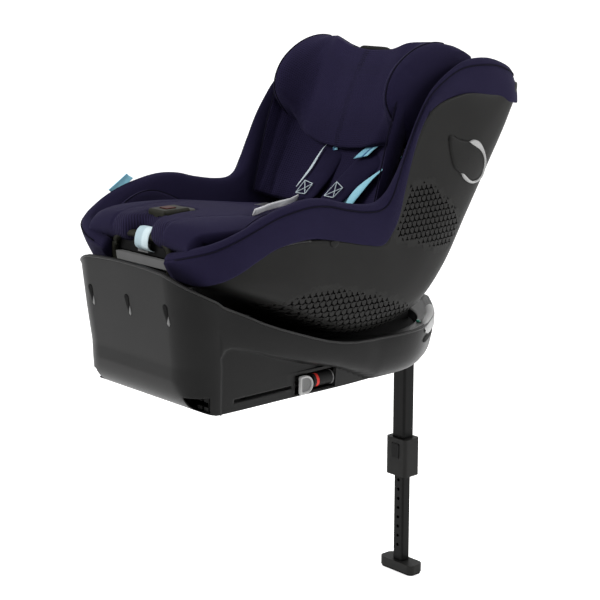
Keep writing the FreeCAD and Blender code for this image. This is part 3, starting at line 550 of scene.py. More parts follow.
def floor():
    """Pale floor that curves up into a backdrop far behind, under the leg's sole."""
    level = CAD_BOX[0].z / MM - 1
    look, tree, shader = new_look("pale_floor", 0.9)
    drift = noise(tree, place_of(tree, "Object"), 3, 2)
    tint(tree, shader, drift, (0.90, 0.90, 0.90), (0.95, 0.95, 0.95))
    shader.inputs["Emission Color"].default_value = (1, 1, 1, 1)
    shader.inputs["Emission Strength"].default_value = 0.62
    sweep = [(-9000, 0), (0, 0), (9000, 0), (12000, 300), (14000, 2000), (14500, 9000)]
    line = even_line(sweep, 60)
    across = np.linspace(-14000, 14000, 24)
    toward = np.array([-math.sin(AZIMUTH), math.cos(AZIMUTH)])
    side = np.array([toward[1], -toward[0]])
    rows = [[(*(toward * run + side * x), level + rise) for x in across] for run, rise in line]
    surface("floor", np.array(rows), None, look)


# ------------------------------------------------------------------ base

SIDE_BEND = 60
UNDER_ROUND = 60
RIM_HALF = 212
PANEL_HALF = 166
# The side's top edge and the foot of its bulge, as (y, height) points.
RIM_LINE = [(-384, 196), (-374, 186), (-340, 168), (-305, 149), (-270, 134), (-233, 120), (-200, 108),
            (-170, 98), (-140, 91), (-110, 87), (-60, 86)]
ARCH_LINE = [(-388, 60), (-384, 100), (-374, 112), (-362, 114), (-332, 105), (-270, 82), (-207, 61),
             (-135, 41), (-90, 24), (-40, 0)]


def plan_point(column, half_width, panel_half):
    """Point of the base's plan: column counts the flat (0-1), the corner (1-2) and the side (2-6)."""
    flat_half = panel_half - SIDE_BEND
    if column <= 1:
        return np.array([flat_half * column, PANEL_FRONT])
    if column <= 2:
        turn = (column - 1) * math.pi / 2
        return np.array([flat_half, PANEL_FRONT]) + SIDE_BEND * np.array([math.sin(turn), 1 - math.cos(turn)])
    stops = [(panel_half, -384), (half_width, 0), (0.765 * half_width, 0.485 * NOSE),
             (0.28 * half_width, 0.89 * NOSE), (0, NOSE)]
    extended = [(2 * stops[0][0] - half_width, -800)] + stops + [(-0.28 * half_width, 0.89 * NOSE)]
    spots = np.array(extended, float)
    first = int(min(column - 2, 3.999999))
    t = column - 2 - first
    start, end = spots[first + 1], spots[first + 2]
    leave, arrive = side_slope(spots, first + 1), side_slope(spots, first + 2)
    return (start * (1 + 2 * t) * (1 - t) ** 2 + leave * t * (1 - t) ** 2
            + end * t * t * (3 - 2 * t) - arrive * t * t * (1 - t))


def side_slope(spots, number):
    """Tangent of the side curve: straight back at the panel, across at the nose's tip."""
    if number == 1:
        return np.array([0.18 * (spots[2][0] - spots[1][0]) + 12, 300.0])
    if number == 2:
        return np.array([0.0, 190.0])
    if number == 5:
        return np.array([-100.0, 0.0])
    return (spots[number + 1] - spots[number - 1]) / 2


def column_at_y(y):
    """Side column whose plan point has this y."""
    low, high = 2.0, 3.0
    for _ in range(30):
        middle = (low + high) / 2
        if plan_point(middle, RIM_HALF, PANEL_HALF)[1] < y:
            low = middle
        else:
            high = middle
    return (low + high) / 2


def rim_height(column):
    """Height of the base's top edge: panel, corner, falling side and level rim."""
    if column <= 1:
        return 250 - 5 * column ** 2
    if column <= 2:
        return 245 - 49 * (column - 1) ** 1.25
    y = plan_point(column, RIM_HALF, PANEL_HALF)[1] if column < 3.2 else 0
    return float(np.interp(y, *zip(*RIM_LINE)))


def base_skin_point(column, level):
    """Outer face of the base, bulging from the wall or the foot to the rim."""
    wall_half = 161.2 + 5 * min(level / 45, 1)
    panel_half = 160 + 6 * min(level / 150, 1)
    point = plan_point(column, wall_half, panel_half)
    top = rim_height(column)
    out_of_recess = 1.0
    if column > 2:
        rim = plan_point(column, 213, PANEL_HALF)
        y = rim[1] if column < 3.2 else 0
        start = float(np.interp(y, *zip(*ARCH_LINE))) if y < -40 else 0.0
        rise = float(np.clip((level - start) / max(top - start, 1), 0, 1))
        bulge = math.sqrt(1 - (1 - rise) ** 2)
        if y < -40:
            out_of_recess = float(smooth_step(level, start - 2, start + 3))
            ledge = 0.10 * out_of_recess * float(smooth_step(y, -384, -330))
            bulge = max(bulge * 0.9, 0) + ledge
        point = point + (rim - point) * bulge
        if y < -60:
            recess = (1 - out_of_recess) * float(smooth_step(y, -392, -386))
            point[0] -= 2.4 * recess - 2.2
    else:
        point[0] += 2.2 * float(smooth_step(column, 0.9, 1.6))
    point[1] -= 1.5 * float(smooth_step(-point[1], 300, 400))
    lean = 20 * max(level - RIM_LEVEL, 0) / (257 - RIM_LEVEL)
    point[1] -= lean * float(smooth_step(-point[1], 300, 440))
    if level < UNDER_ROUND:
        run = math.sqrt(UNDER_ROUND ** 2 - (UNDER_ROUND - level) ** 2)
        cut = -385.5 - run
        blend = 16 * (1 - float(smooth_step(level, 36, UNDER_ROUND)))
        gap = point[1] - cut
        point[1] = cut + (gap + math.sqrt(gap * gap + blend)) / 2
    return np.array([point[0], point[1], level])


TEARDROPS = (-107, 0, 107)
PORT = {"columns": (1.25, 1.78), "levels": (6, 34)}
WINDOW = {"y": (-217, -127), "levels": (4, 38.5)}
SLOT = {"y": (-354, -227), "levels": (15, 22)}


def key_holes():
    """Teardrop marks near the panel's top: flat patches with round heads and tails painted dark as the shade
    in the holes, and a pale grey patch painted as the highlight on each hole's slanted facet.
    """
    turns = np.linspace(-0.15, math.pi + 0.15, 18)
    outline = [(6.2 * math.cos(turn), 6.2 * math.sin(turn)) for turn in turns]
    outline += [(-2.4, -15), (2.2, -29), (5.6, -29), (6.0, -15)]
    highlight_facet = [(2.6, -27), (7.2, -14), (9.0, -27), (6.5, -31)]
    # Painted shade in the teardrops and a painted highlight on the facet, both as flat patches just off the
    # panel.
    shapes = (("pit", outline, 0.5, "painted_shade"), ("highlight_facet", highlight_facet, 0.9, "dim_grey"))
    level = 188
    for number, middle in enumerate(TEARDROPS):
        for label, spots, lift, look in shapes:
            centre = np.mean(spots, axis=0)
            rows = []
            for share, out in ((1.0, -1.5), (1.0, lift), (0.5, lift), (0.02, lift)):
                ring = centre + (np.array(spots) - centre) * share
                spots_here = [(middle + x, level + z) for x, z in ring]
                rows.append([[x, panel_front(x, z) - out, z] for x, z in spots_here])
            pit = surface("key_%s_%d" % (label, number), np.array(rows), "base", LOOKS[look], wrap=True)


def panel_front(x, level):
    """Y of the rebound panel's face at a place on it."""
    column = min(abs(x) / (PANEL_HALF - SIDE_BEND), 1.0)
    return base_skin_point(column, level)[1]


def base_columns():
    flat = np.linspace(0, 1, 22)[:-1]
    corner = list(np.linspace(1, 2, 34)[1:-1]) + list(PORT["columns"])
    corner += list(1 + np.arange(0.01, 0.2, 0.0159))
    side = [column_at_y(y) for y in np.unique([*np.arange(-383, -110, 4), *WINDOW["y"], *SLOT["y"]])]
    rest = np.linspace(max(side) + 0.02, 6, 90)
    return np.unique(np.round([*flat, 1.0, *corner, 2.0, *side, *rest], 5))


def inward(line):
    """Normals of a plan line that point into the base."""
    run = unit(np.gradient(line, axis=0))
    return np.stack([-run[:, 1], run[:, 0]], axis=1)


def between(values, low, high):
    return (values > low) & (values < high)


def openings(whole, signed, levels):
    """Test for faces outside the ISOFIX port, the side window and the side slot."""
    last = len(levels) - 1

    def keep(row, column):
        middle = (np.abs(signed[column]) + np.abs(signed[column + 1])) / 2
        here, above = levels[np.minimum(row, last)], levels[np.minimum(row + 1, last)]
        height = np.where(row < last, (here + above) / 2, 200)
        y = whole[np.minimum(row, len(whole) - 2), column, 1]
        side = between(middle, 2, 3)
        port = between(middle, *PORT["columns"]) & between(height, *PORT["levels"])
        window = side & between(y, WINDOW["y"][0] - 2, WINDOW["y"][1] - 2) & between(height, *WINDOW["levels"])
        slot = side & between(y, SLOT["y"][0] - 2, SLOT["y"][1] - 1) & between(height, *SLOT["levels"])
        return ~(port | window | slot)

    return keep


def base_body():
    """Base skin from the foot over the rim and down into the round bowl under the seat."""
    columns = base_columns()
    low = [0, 1, 2.5, 4, 6, 8.5, 11, 13, 15, 17, 19, 22, 24.5, 27, 29.5, 32, 34, 36, 38.5, 41, 43, 45]
    low += list(np.arange(47.5, 84.1, 2.5))
    shares = np.linspace(0, 1, 52)[1:]
    rows = []
    for level in low:
        rows.append([base_skin_point(column, level) for column in columns])
    for share in shares:
        levels = [RIM_LEVEL + (rim_height(column) - RIM_LEVEL) * share for column in columns]
        rows.append([base_skin_point(column, level) for column, level in zip(columns, levels)])
    rows = np.array(rows)
    rim = rows[-1]
    plan = np.array([base_skin_point(column, RIM_LEVEL)[:2] for column in columns])
    normal_top, normal = inward(rim[:, :2]), inward(plan)
    heights = rim[:, 2]
    inner = []
    for inset, lift in ((1.5, 1.6), (4, 2.6), (8, 2.4), (11, 1.0), (12.5, -2)):
        inner.append(np.column_stack([rim[:, :2] + normal_top * inset, heights + lift]))
    for inset, share in ((12.5, 0.66), (12.5, 0.33), (13, 0.06), (17, 0.0)):
        level = RIM_LEVEL + 0.4 + (heights - 2 - RIM_LEVEL) * share
        line = plan + (rim[:, :2] - plan) * share
        inner.append(np.column_stack([line + (normal + (normal_top - normal) * share) * inset, level]))
    turn = np.arctan2(plan[:, 1], plan[:, 0])
    around = np.column_stack([np.cos(turn), np.sin(turn)])
    for wider, level in ((3, 84), (0.5, 83.4), (-0.5, 81), (-1, 58), (-18, 56.6)):
        inner.append(np.column_stack([around * (BOWL_RADIUS + wider), np.full(len(columns), float(level))]))
    rows = np.concatenate([rows, np.array(inner)])
    whole = np.concatenate([rows[:, ::-1] * [-1, 1, 1], rows[:, 1:]], axis=1)
    signed = np.concatenate([-columns[::-1], columns[1:]])
    # Painted shade: the bowl's inner rows under the seat get the dark shade look.
    shaded_bowl_row = len(rows) - 3
    body = surface("base_body", whole, "base", [LOOKS["base"], LOOKS["painted_shade"]],
                   keep=openings(whole, signed, np.array(low)),
                   choose=lambda row, column: (row >= shaded_bowl_row).astype(int))
    thicken(body, 2.2)
    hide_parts("base_upper_shell")
    line = np.concatenate([rim[::-1] * [-1, 1, 1], rim[1:]]) + [0, 0, 0.6]
    # Painted highlight: the bead along the rim is tinted lighter.
    bead = tube("rim_bead", line, 2.0, "base", LOOKS["bead"])


def skin_out(column, level):
    """Outward direction of the base's skin in plan."""
    here, beside = base_skin_point(column, level), base_skin_point(column + 0.01, level)
    out = unit(np.array([beside[1] - here[1], here[0] - beside[0], 0.0]))
    return out if out[:2] @ here[:2] > 0 else -out


def rim_band(columns, low, high, lift, inset):
    """Band that climbs the base's skin to the rim and folds over it, tapering at both ends."""
    rows = []
    for number, column in enumerate(columns):
        share = number / (len(columns) - 1)
        ease = math.sqrt(max(1 - abs(2 * share - 1) ** 5, 0.0))
        middle = (low + high) / 2
        foot, head = middle - (middle - low) * ease, middle + (high - middle) * ease
        out = skin_out(column, RIM_LEVEL)
        section = [base_skin_point(column, foot) + out * (lift - 2.5)]
        for level in (foot, (foot + head) / 2, head):
            section.append(base_skin_point(column, level) + out * lift)
        for back, rise in ((0.0, 6.0), (0.3, 8.0), (0.7, 7.6), (1.0, 5.5), (1.05, 0.0)):
            section.append(base_skin_point(column, head) + [0, 0, rise] - out * (inset * back * ease))
        rows.append(section)
    return np.array(rows)


def nose_details():
    """Paddles that free the seat's turning, and dark bands painted below them as their shade."""
    for side, sign in SIDES.items():
        rows = rim_band(np.linspace(3.50, 4.75, 44), 68, 84, 3.0, 14)
        body = "rotation_button_" + side
        paddle = surface("rotation_paddle_" + side, rows * [sign, 1, 1], body, LOOKS["grey"])
        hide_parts("rotation_button_" + side)
        # Painted shade: a thin dark band on the skin below each paddle.
        rows = rim_band(np.linspace(3.44, 4.5, 40), 52, 68, 0.7, 2)[:, :4]
        shade = surface("rotation_paddle_shade_" + side, rows * [sign, 1, 1], "base", LOOKS["painted_shade"])


def status_lens():
    """Small oblong window on the rim's inner side that tilts towards the outside."""
    centre = np.array([163.0, 92, 86.5])
    half_long, half_wide = np.array([5.0, 1, -2.2]), np.array([0, 3.0, 0.6])
    turns = np.linspace(0, 2 * math.pi, 28, endpoint=False)
    outline = [(rounded(math.cos(turn), 0.6), rounded(math.sin(turn), 0.6)) for turn in turns]
    rows = []
    for share, sink in ((1.0, 4), (1.0, 1.2), (0.9, 0), (0.5, -0.6), (0.03, -0.8)):
        rows.append([centre + (half_long * along + half_wide * across) * share - [0, 0, sink]
                     for along, across in outline])
    window = surface("status_lens", np.array(rows), "base", LOOKS["green"], wrap=True)
    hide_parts("status_window")


def rounded(value, power):
    """Value raised to a power with its sign kept, for outlines between an oval and a box."""
    return math.copysign(abs(value) ** power, value)


def isofix_button(side, sign):
    """D shaped release button with a raised rim."""
    low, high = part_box("isofix_button_" + side)
    front, back = low.y / MM, high.y / MM
    middle, radius = (low.z + high.z) / 2 / MM, (high.z - low.z) / 2 / MM
    outer = max(abs(low.x), abs(high.x)) / MM
    straight = back - radius
    outline = [(front + 2, middle - radius), (straight, middle - radius)]
    outline += [(straight + radius * math.sin(turn), middle - radius * math.cos(turn))
                for turn in np.linspace(0.2, math.pi - 0.2, 12)]
    outline += [(straight, middle + radius), (front + 2, middle + radius)]
    outline += [(front, middle + radius - 3), (front, middle - radius + 3)]
    outline = np.array(outline)
    centre = outline.mean(axis=0)
    rows = []
    for share, lift in ((1.0, -6), (1.0, -1), (0.95, 0.5), (0.86, 0.5), (0.8, -1), (0.76, -2.2), (0.4, -2.4),
                        (0.02, -2.4)):
        ring = centre + (outline - centre) * share
        rows.append(np.column_stack([np.full(len(ring), sign * (outer + lift)), ring]))
    button = surface("isofix_release_" + side, np.array(rows), "isofix_button_" + side,
                     [LOOKS["grey"], LOOKS["dim_grey"]], wrap=True,
                     choose=lambda row, column: np.where(row >= 5, 1, 0))
    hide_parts("isofix_button_" + side)


def isofix_details():
    """Release buttons, and the pale ring at each tube's end."""
    low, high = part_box("isofix_indicator_tubes")
    level, end = (low.z + high.z) / 2 / MM, high.y / MM - 1.0
    radius = 12.7
    turns = np.linspace(-1.9, 1.9, 30)
    for side, sign in SIDES.items():
        isofix_button(side, sign)
        across, heights = sign * (155 + radius * np.cos(turns)), level + radius * np.sin(turns)
        ring = np.column_stack([across, np.full(len(turns), end), heights])
        tube("isofix_tube_lip_" + side, ring, 1.1, "base", LOOKS["dim_grey"])


# ------------------------------------------------------------------ bucket shell

# Low and high ends of the bucket's side sections, as (y, z) points, and their half width.
STATIONS = [
    ((-398, 212), (-404, 256), 138),
    ((-335, 190), (-350, 272), 190),
    ((-265, 158), (-270, 287), 211),
    ((-185, 117), (-180, 283), 217),
    ((-105, 85), (-100, 268), 218),
    ((-20, 84.5), (-52, 262), 218),
    ((75, 111), (-36, 290), 217),
    ((150, 172), (-10, 350), 215),
    ((215, 262), (20, 425), 213),
    ((272, 350), (66, 486), 213),
    ((322, 440), (150, 508), 211),
    ((352, 512), (232, 505), 200),
    ((338, 552), (262, 532), 176),
]
# Section from the keel to the rim: share of the half width, share of the way up.
SECTION = [(0.0, 0.0), (0.5, 0.012), (0.84, 0.10), (0.965, 0.38), (1.0, 1.0)]
LOWER_VENT = [(-317, 174), (-265, 186), (-231, 195), (-173, 197), (-125, 188), (-38, 160), (39, 128),
              (50, 112), (20, 95), (-100, 92), (-200, 108), (-270, 140), (-310, 162)]
UPPER_VENT = [(65, 358), (95, 336), (141, 298), (160, 268), (135, 233), (95, 230), (24, 250), (-25, 264),
              (-15, 300), (10, 350)]
FLAP = [(112, 434), (139, 427), (163, 421), (187, 413), (208, 400), (222, 381), (224, 364), (220, 351),
        (205, 344), (182, 345), (157, 360), (127, 381)]


def shell_grid(steps):
    """Outer face of the bucket: rows run along its stations, columns across each section."""
    last = 11.1
    at = np.linspace(0, last, int(last * steps))
    low = spline([station[0] for station in STATIONS], at)
    edge = spline([station[1] for station in STATIONS], at)
    half = spline([[station[2]] for station in STATIONS], at)[:, 0]
    section = [(-across, rise) for across, rise in SECTION[:0:-1]] + SECTION
    profile = spline(section, np.linspace(0, len(section) - 1, 8 * steps + 1))
    across, rise = profile[None, :, 0:1], profile[None, :, 1:2]
    in_plane = low[:, None] + (edge - low)[:, None] * rise
    return np.concatenate([across * half[:, None, None], in_plane], axis=2)


def grid_tree(rows):
    count, width = rows.shape[:2]
    faces = [(r * width + c, r * width + c + 1, (r + 1) * width + c + 1, (r + 1) * width + c)
             for r in range(count - 1) for c in range(width - 1)]
    return BVHTree.FromPolygons([Vector(point) for point in rows.reshape(-1, 3)], faces)


def seat_shell():
    """Bucket shell with sunk fields that hold its vents and flaps; the fields' floors are painted dark as
    shade.
    """
    rows = shell_grid(16)
    tree = grid_tree(rows)
    flat = rows.reshape(-1, 3)
    across, along = np.gradient(rows, axis=1), np.gradient(rows, axis=0)
    normal = unit(np.cross(along, across)).reshape(-1, 3)
    normal *= np.sign(normal[:, :1] * flat[:, :1] + 1e-9)
    spots = flat[:, 1:]
    on_side = np.abs(flat[:, 0]) > 120
    depth = np.zeros(len(flat))
    # Painted shade: faces deep inside the vent and flap fields get the dark shade look.
    painted_shade_floor = np.zeros(len(flat))
    for outline, deep in ((LOWER_VENT, 5.0), (UPPER_VENT, 5.0), (FLAP, 4.0)):
        reach = np.where(on_side, inside_depth(spots, even_line(outline, 80, True)), -99)
        depth = np.maximum(depth, deep * smooth_step(reach, 3, 8))
        painted_shade_floor = np.maximum(painted_shade_floor, np.where(reach > 4, 1, 0))
    moved = (flat - normal * depth[:, None]).reshape(rows.shape)
    painted_shade_floor = painted_shade_floor.reshape(rows.shape[:2])
    shell = surface("bucket_shell", moved, "bucket", [LOOKS["shell"], LOOKS["painted_shade"]],
                    choose=lambda row, column: (painted_shade_floor[row, column] > 0).astype(int))
    thicken(shell, 3.5, 1)
    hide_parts("seat_shell")
    for side, sign in SIDES.items():
        vent("lower_vent_" + side, tree, LOWER_VENT, sign)
        vent("upper_vent_" + side, tree, UPPER_VENT, sign)
        impact_flap(side, sign, tree)
        turns = np.linspace(0, math.pi, 14)
        clip = np.column_stack([-176 + 10 * np.cos(turns), 281 - 12 * np.sin(turns)])
        flat_clip = patch("cover_clip_" + side, tree, clip, sign, 1.4, "bucket", LOOKS["shell"], 0.5, 2)
    for side, sign in SIDES.items():
        # Painted highlight: the lip along the shell's edge is tinted lighter.
        lip = tube("shell_lip_" + side, rows[:40, -1] * [sign, 1, 1], 1.8, "bucket", LOOKS["bead"])


def vent(name, tree, outline, side):
    """Panel of hexagonal cells, each with a three-armed hole that shrinks towards the edge."""
    pitch = 12.5
    smooth = even_line(outline, 80, True)
    low, high = smooth.min(axis=0), smooth.max(axis=0)
    corner = pitch / math.sqrt(3)
    points, faces = [], []
    rise = 1.5 * corner
    for row in range(int((high[1] - low[1]) / rise) + 2):
        for step in range(int((high[0] - low[0]) / pitch) + 2):
            y = low[0] + (step + 0.5 * (row % 2)) * pitch
            z = low[1] + row * rise
            reach = float(inside_depth([(y, z)], smooth)[0])
            if reach < -4:
                continue
            size = float(smooth_step(reach, -2, 16))
            add_cell(points, faces, (y, z), corner, 0.35 + 0.65 * size if reach > 1 else 0)
    placed = hits(tree, points, side, -0.9)
    piece = add_mesh(name, placed, faces, "bucket", LOOKS["shell"])
    piece.data.polygons.foreach_set("use_smooth", [False] * len(faces))
    thicken(piece, 2.0, 0)


def add_cell(points, faces, middle, corner, size):
    """Hexagon; with a size above zero it is cut by three arms that reach for every other corner."""
    first = len(points)
    for number in range(6):
        turn = math.radians(30 + 60 * number)
        points.append((middle[0] + corner * math.cos(turn), middle[1] + corner * math.sin(turn)))
    if size <= 0:
        faces.append([first + number for number in range(6)])
        return
    arm, half = corner * 0.90 * size, corner * 0.23 * (0.6 + 0.4 * size)
    for number in range(3):
        turn = math.radians(90 + 120 * number)
        along = (math.cos(turn), math.sin(turn))
        for sign in (-1, 1):
            points.append((middle[0] + along[0] * arm - along[1] * half * sign,
                           middle[1] + along[1] * arm + along[0] * half * sign))
        turn = math.radians(150 + 120 * number)
        points.append((middle[0] + half / 0.866 * math.cos(turn), middle[1] + half / 0.866 * math.sin(turn)))
    for number in range(3):
        tip = first + 6 + 3 * number
        following = first + 6 + 3 * ((number + 1) % 3)
        here, between, there = (first + (1 + 2 * number + step) % 6 for step in range(3))
        faces.append([here, tip, tip + 1])
        faces.append([here, tip + 1, tip + 2, between])
        faces.append([between, tip + 2, following, there])


def impact_flap(side, sign, tree):
    """Side impact flap with its light crescent, thickest at the top rear."""
    outline = even_line(FLAP, 64, True)
    body = "side_flap_" + side
    flap = patch("impact_flap_" + side, tree, outline, sign, 1.6, body, LOOKS["shell"], 1.2, 5)
    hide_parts("side_impact_flap_" + side)
    middle = outline.mean(axis=0)
    angle = np.arctan2(outline[:, 1] - middle[1], outline[:, 0] - middle[0])
    order = np.argsort(angle)
    ring, angle = outline[order], angle[order]
    shown = (angle > -2.2) & (angle < 1.55)
    ring, angle = ring[shown], angle[shown]
    share = (angle - angle[0]) / (angle[-1] - angle[0])
    width = 3.5 + 6.5 * np.exp(-((share - 0.78) / 0.16) ** 2) + 2.5 * np.exp(-((share - 0.15) / 0.12) ** 2)
    width = width * np.sqrt(np.clip(np.minimum(share, 1 - share) * 12, 0, 1))
    out = unit(ring - middle)
    rows = [hits(tree, ring + out * (width * step)[:, None] * 0.9, sign, lift)
            for step, lift in ((-0.4, 1.5), (-0.1, 4.0), (0.35, 4.2), (0.7, 3.6), (1.0, 2.0), (1.05, -1.0))]
    crescent = surface("flap_crescent_" + side, np.array(rows), body, LOOKS["grey"])


# ------------------------------------------------------------------ fabric cover round the bucket

# Centre line, outer edge and inner foot of the cover's rolled rim, front to back, near side.
RIDGE = [(86, -430, 274), (140, -428, 288), (180, -408, 302), (198, -372, 318), (204, -335, 334),
         (205, -290, 348), (205, -236, 357), (205, -190, 354), (205, -148, 343), (205, -100, 334),
         (205, -62, 334), (205, -36, 350), (205, -16, 380), (205, 3, 416), (205, 24, 456), (204, 46, 490),
         (203, 74, 523), (200, 120, 551), (196, 170, 568), (190, 236, 568), (180, 292, 553),
         (150, 334, 538), (102, 351, 530), (50, 356, 528), (0, 357, 527)]
EDGE = [(86, -421, 226), (140, -415, 224), (176, -398, 232), (196, -372, 246), (208, -340, 266),
        (215, -300, 284), (218, -236, 291), (219, -188, 284), (219, -140, 273), (219, -97, 263),
        (219, -60, 259), (219, -36, 280), (218, -19, 307), (217, -2, 360), (216, 17, 416), (215, 34, 452),
        (214, 60, 484), (211, 105, 502), (207, 160, 507), (202, 241, 497), (196, 300, 482),
        (168, 344, 476), (112, 364, 476), (56, 369, 477), (0, 370, 477)]
INNER = [(86, -412, 262), (135, -400, 274), (160, -380, 284), (170, -350, 285), (173, -320, 280),
         (173, -280, 275), (173, -236, 265), (173, -190, 255), (173, -145, 250), (173, -100, 245),
         (173, -62, 242), (173, -22, 246), (172, 12, 268), (171, 48, 302), (170, 82, 345), (169, 118, 395),
         (168, 152, 435), (167, 182, 470), (166, 210, 500), (161, 245, 520), (150, 275, 520),
         (128, 303, 512), (95, 318, 508), (50, 322, 506), (0, 323, 505)]


def cover_section(inner, ridge, edge):
    """Control points of the cover's section, from its inner foot over the ridge to its outer edge."""
    out = unit((edge - inner) * [1, 1, 0])
    down = (inner + edge) / 2 - ridge
    down = unit(down - out * (down * out).sum(axis=1, keepdims=True))
    shoulder = ridge - out * 15 + down * 8
    seam = ridge + out * 12 + down * 13
    return [
        inner,
        inner * 0.66 + shoulder * 0.34 - out * 2,
        inner * 0.3 + shoulder * 0.7 - out * 3,
        shoulder,
        ridge - out * 5 + down * 0.5,
        ridge + out * 5 + down * 2.2,
        seam - down * 3.5 - out * 1.2,
        seam - out * 1.4,
        seam + down * 3.5 + out * 0.3,
        seam * 0.55 + edge * 0.45 + out * 3.5,
        seam * 0.15 + edge * 0.85 + out * 2.5,
        edge + out * 0.6,
        edge - out * 4 - down * 1,
    ], seam


def bucket_cover():
    """Padded cover over the bucket's rim with its piping and labels."""
    steps = np.linspace(0, len(RIDGE) - 1, 150)
    inner, ridge, edge = (spline(line, steps) for line in (INNER, RIDGE, EDGE))
    controls, seam = cover_section(inner, ridge, edge)
    controls = np.array(controls)
    spots = np.unique(np.concatenate([np.linspace(0, 12, 40), [5.6, 6, 6.5, 7, 7.5, 8, 8.4]]))
    rows = np.stack([spline(controls[:, number], spots) for number in range(len(steps))])
    whole = mirrored(rows)
    cover = surface("bucket_cover", whole, "bucket", [LOOKS["weave"]], wrap=True, cap=0)
    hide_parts("side_cover_left", "side_cover_right", "side_cushion_left", "side_cushion_right",
                "top_cover", "front_cover")
    piping("cover_piping", mirrored(seam)[3:-3], 1.3)
    tags(grid_tree(whole))


def tags(tree):
    """Plain woven labels: one on the near wing's back, one sewn in at the far wing's seam."""
    black = np.array([(57, 485), (83, 479), (73, 448), (42, 458)], float)
    middle = black.mean(axis=0)
    outline = np.concatenate([np.linspace(black[k], black[(k + 1) % 4], 6)[:-1] for k in range(4)])
    label = patch("black_label", tree, outline, 1, 1.6, "bucket", LOOKS["black_label"], 0.2, 1.4)
    for number, turn in enumerate((0.4, 1.9, 3.4)):
        turns = turn + np.linspace(0, 1.1, 9)
        arc = middle + np.column_stack([7 * np.cos(turns), 9 * np.sin(turns)])
        thread("label_mark_%d" % number, hits(tree, arc, 1, 2.4), "bucket")
    near = np.linspace((-207, -326, 325), (-207, -287, 352), 14)
    far = np.linspace((-207, -343, 336), (-207, -301, 362), 14)
    rows = []
    for share in np.linspace(0, 1, 8):
        sag = 3 * math.sin(share * math.pi)
        rows.append(near + (far - near) * share + [-sag, 0, 0])
    label = thicken(surface("blue_label", np.array(rows), "bucket", LOOKS["blue_label"]), 1.2, 0)


# ------------------------------------------------------------------ seat, back and headrest

BACK_ANGLE = math.radians(25)
BACK_FOOT = (18, 290)
BACK_OUT = np.array([0, -math.cos(BACK_ANGLE), math.sin(BACK_ANGLE)])


def back_place(x, along, out):
    """Point of the backrest: across, along it from its foot, and out of its face."""
    x, along, out = np.broadcast_arrays(np.asarray(x, float), along, out)
    y = BACK_FOOT[0] + along * math.sin(BACK_ANGLE) - out * math.cos(BACK_ANGLE)
    z = BACK_FOOT[1] + along * math.cos(BACK_ANGLE) + out * math.sin(BACK_ANGLE)
    return np.stack([x, y, z], axis=-1)


def closed_pad(name, top, bottom, body, looks, choose, fixed, pressure, cap):
    """Closed cushion from a top grid and a bottom grid of the same size; fixed marks seam points."""
    rows = np.concatenate([top, bottom[:, ::-1]], axis=1)
    piece = surface(name, rows, None, looks, wrap=True, cap=0, choose=choose)
    pinned = np.zeros(rows.shape[:2], bool)
    pinned[:, top.shape[1]:] = True
    pinned[:, :top.shape[1]] |= fixed
    puff(piece, np.nonzero(pinned.ravel())[0], pressure, cap)
    refine(piece)
    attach(piece, body)
    return piece


def rib_half(y):
    """Half width of the ribbed middle, narrower at the front and the back."""
    return 100 - 30 * smooth_step(-y, 250, 420) - 20 * smooth_step(y, -140, -20)


def seat_cushion():
    """Seat pad with a ribbed middle between two seams and a bed for the buckle."""
    profile = even_line([(-420, 277), (-431, 288), (-434, 304), (-424, 318), (-400, 326), (-330, 326),
                         (-250, 320), (-170, 308), (-100, 298), (-50, 292), (-6, 288)], 74)
    across = np.linspace(-1, 1, 69)
    rows, seams = [], []
    for y, z in profile:
        front = float(smooth_step(-y, 330, 432))
        half = 168 - 26 * front ** 2
        x = across * half
        crown = 15 * np.abs(across) ** 5
        rib = float(rib_half(y))
        near_seam = np.exp(-((np.abs(x) - rib) / 2.6) ** 2)
        groove = 2.6 * near_seam
        dent = 30 * front * np.exp(-(x / 30) ** 4)
        bed_here = float(smooth_step(-y, 318, 330)) * float(smooth_step(y, -402, -392))
        buckle_bed = 16 * bed_here * np.exp(-(x / 27) ** 8)
        rows.append(np.column_stack([x, y + 2 * near_seam * front + dent, z - crown - groove - buckle_bed]))
        seams.append(near_seam > 0.6)
    top = np.array(rows)
    bottom = top.copy()
    bottom[:, :, 2] = np.minimum(top[:, :, 2] - 12, 292)
    bottom[:, :, 1] = np.maximum(top[:, :, 1] + 8, -400)
    width = np.abs(top[:, :, 0])
    rib_zone = rib_half(profile[:, 0])

    def choose(row, column):
        on_top = column < 68
        inside = width[row, np.minimum(column, 68)] < rib_zone[row]
        return np.where(on_top & inside, 1, 0)

    pad = closed_pad("seat_pad", top, bottom, "bucket", [LOOKS["weave"], LOOKS["ribs"]], choose,
                     np.array(seams), 3.0, 4.0)
    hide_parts("seat_cushion", "seat_core")


def hip_pads():
    """Arched ribbed pads on the inner faces of the side wings."""
    arch = even_line([(-352, 296), (-340, 312), (-320, 324), (-295, 332), (-268, 332), (-240, 323),
                      (-215, 311), (-190, 293), (-172, 276)], 30)
    outline = np.vstack([arch, even_line([(-185, 270), (-260, 280), (-345, 288)], 14)])
    middle = outline.mean(axis=0)
    for side, sign in SIDES.items():
        rows = []
        for share, bulge in ((1.0, 5), (1.0, -0.5), (0.93, -3.4), (0.8, -5), (0.5, -6.5), (0.2, -7),
                             (0.03, -7)):
            ring = middle + (outline - middle) * share
            rows.append(np.column_stack([np.full(len(ring), sign * (171 + bulge)), ring]))
        pad = surface("hip_pad_" + side, np.array(rows), "bucket", LOOKS["ribs"], wrap=True)
        line = np.column_stack([np.full(len(arch), sign * 169.6), arch])
        piping("hip_piping_" + side, line, 1.0)


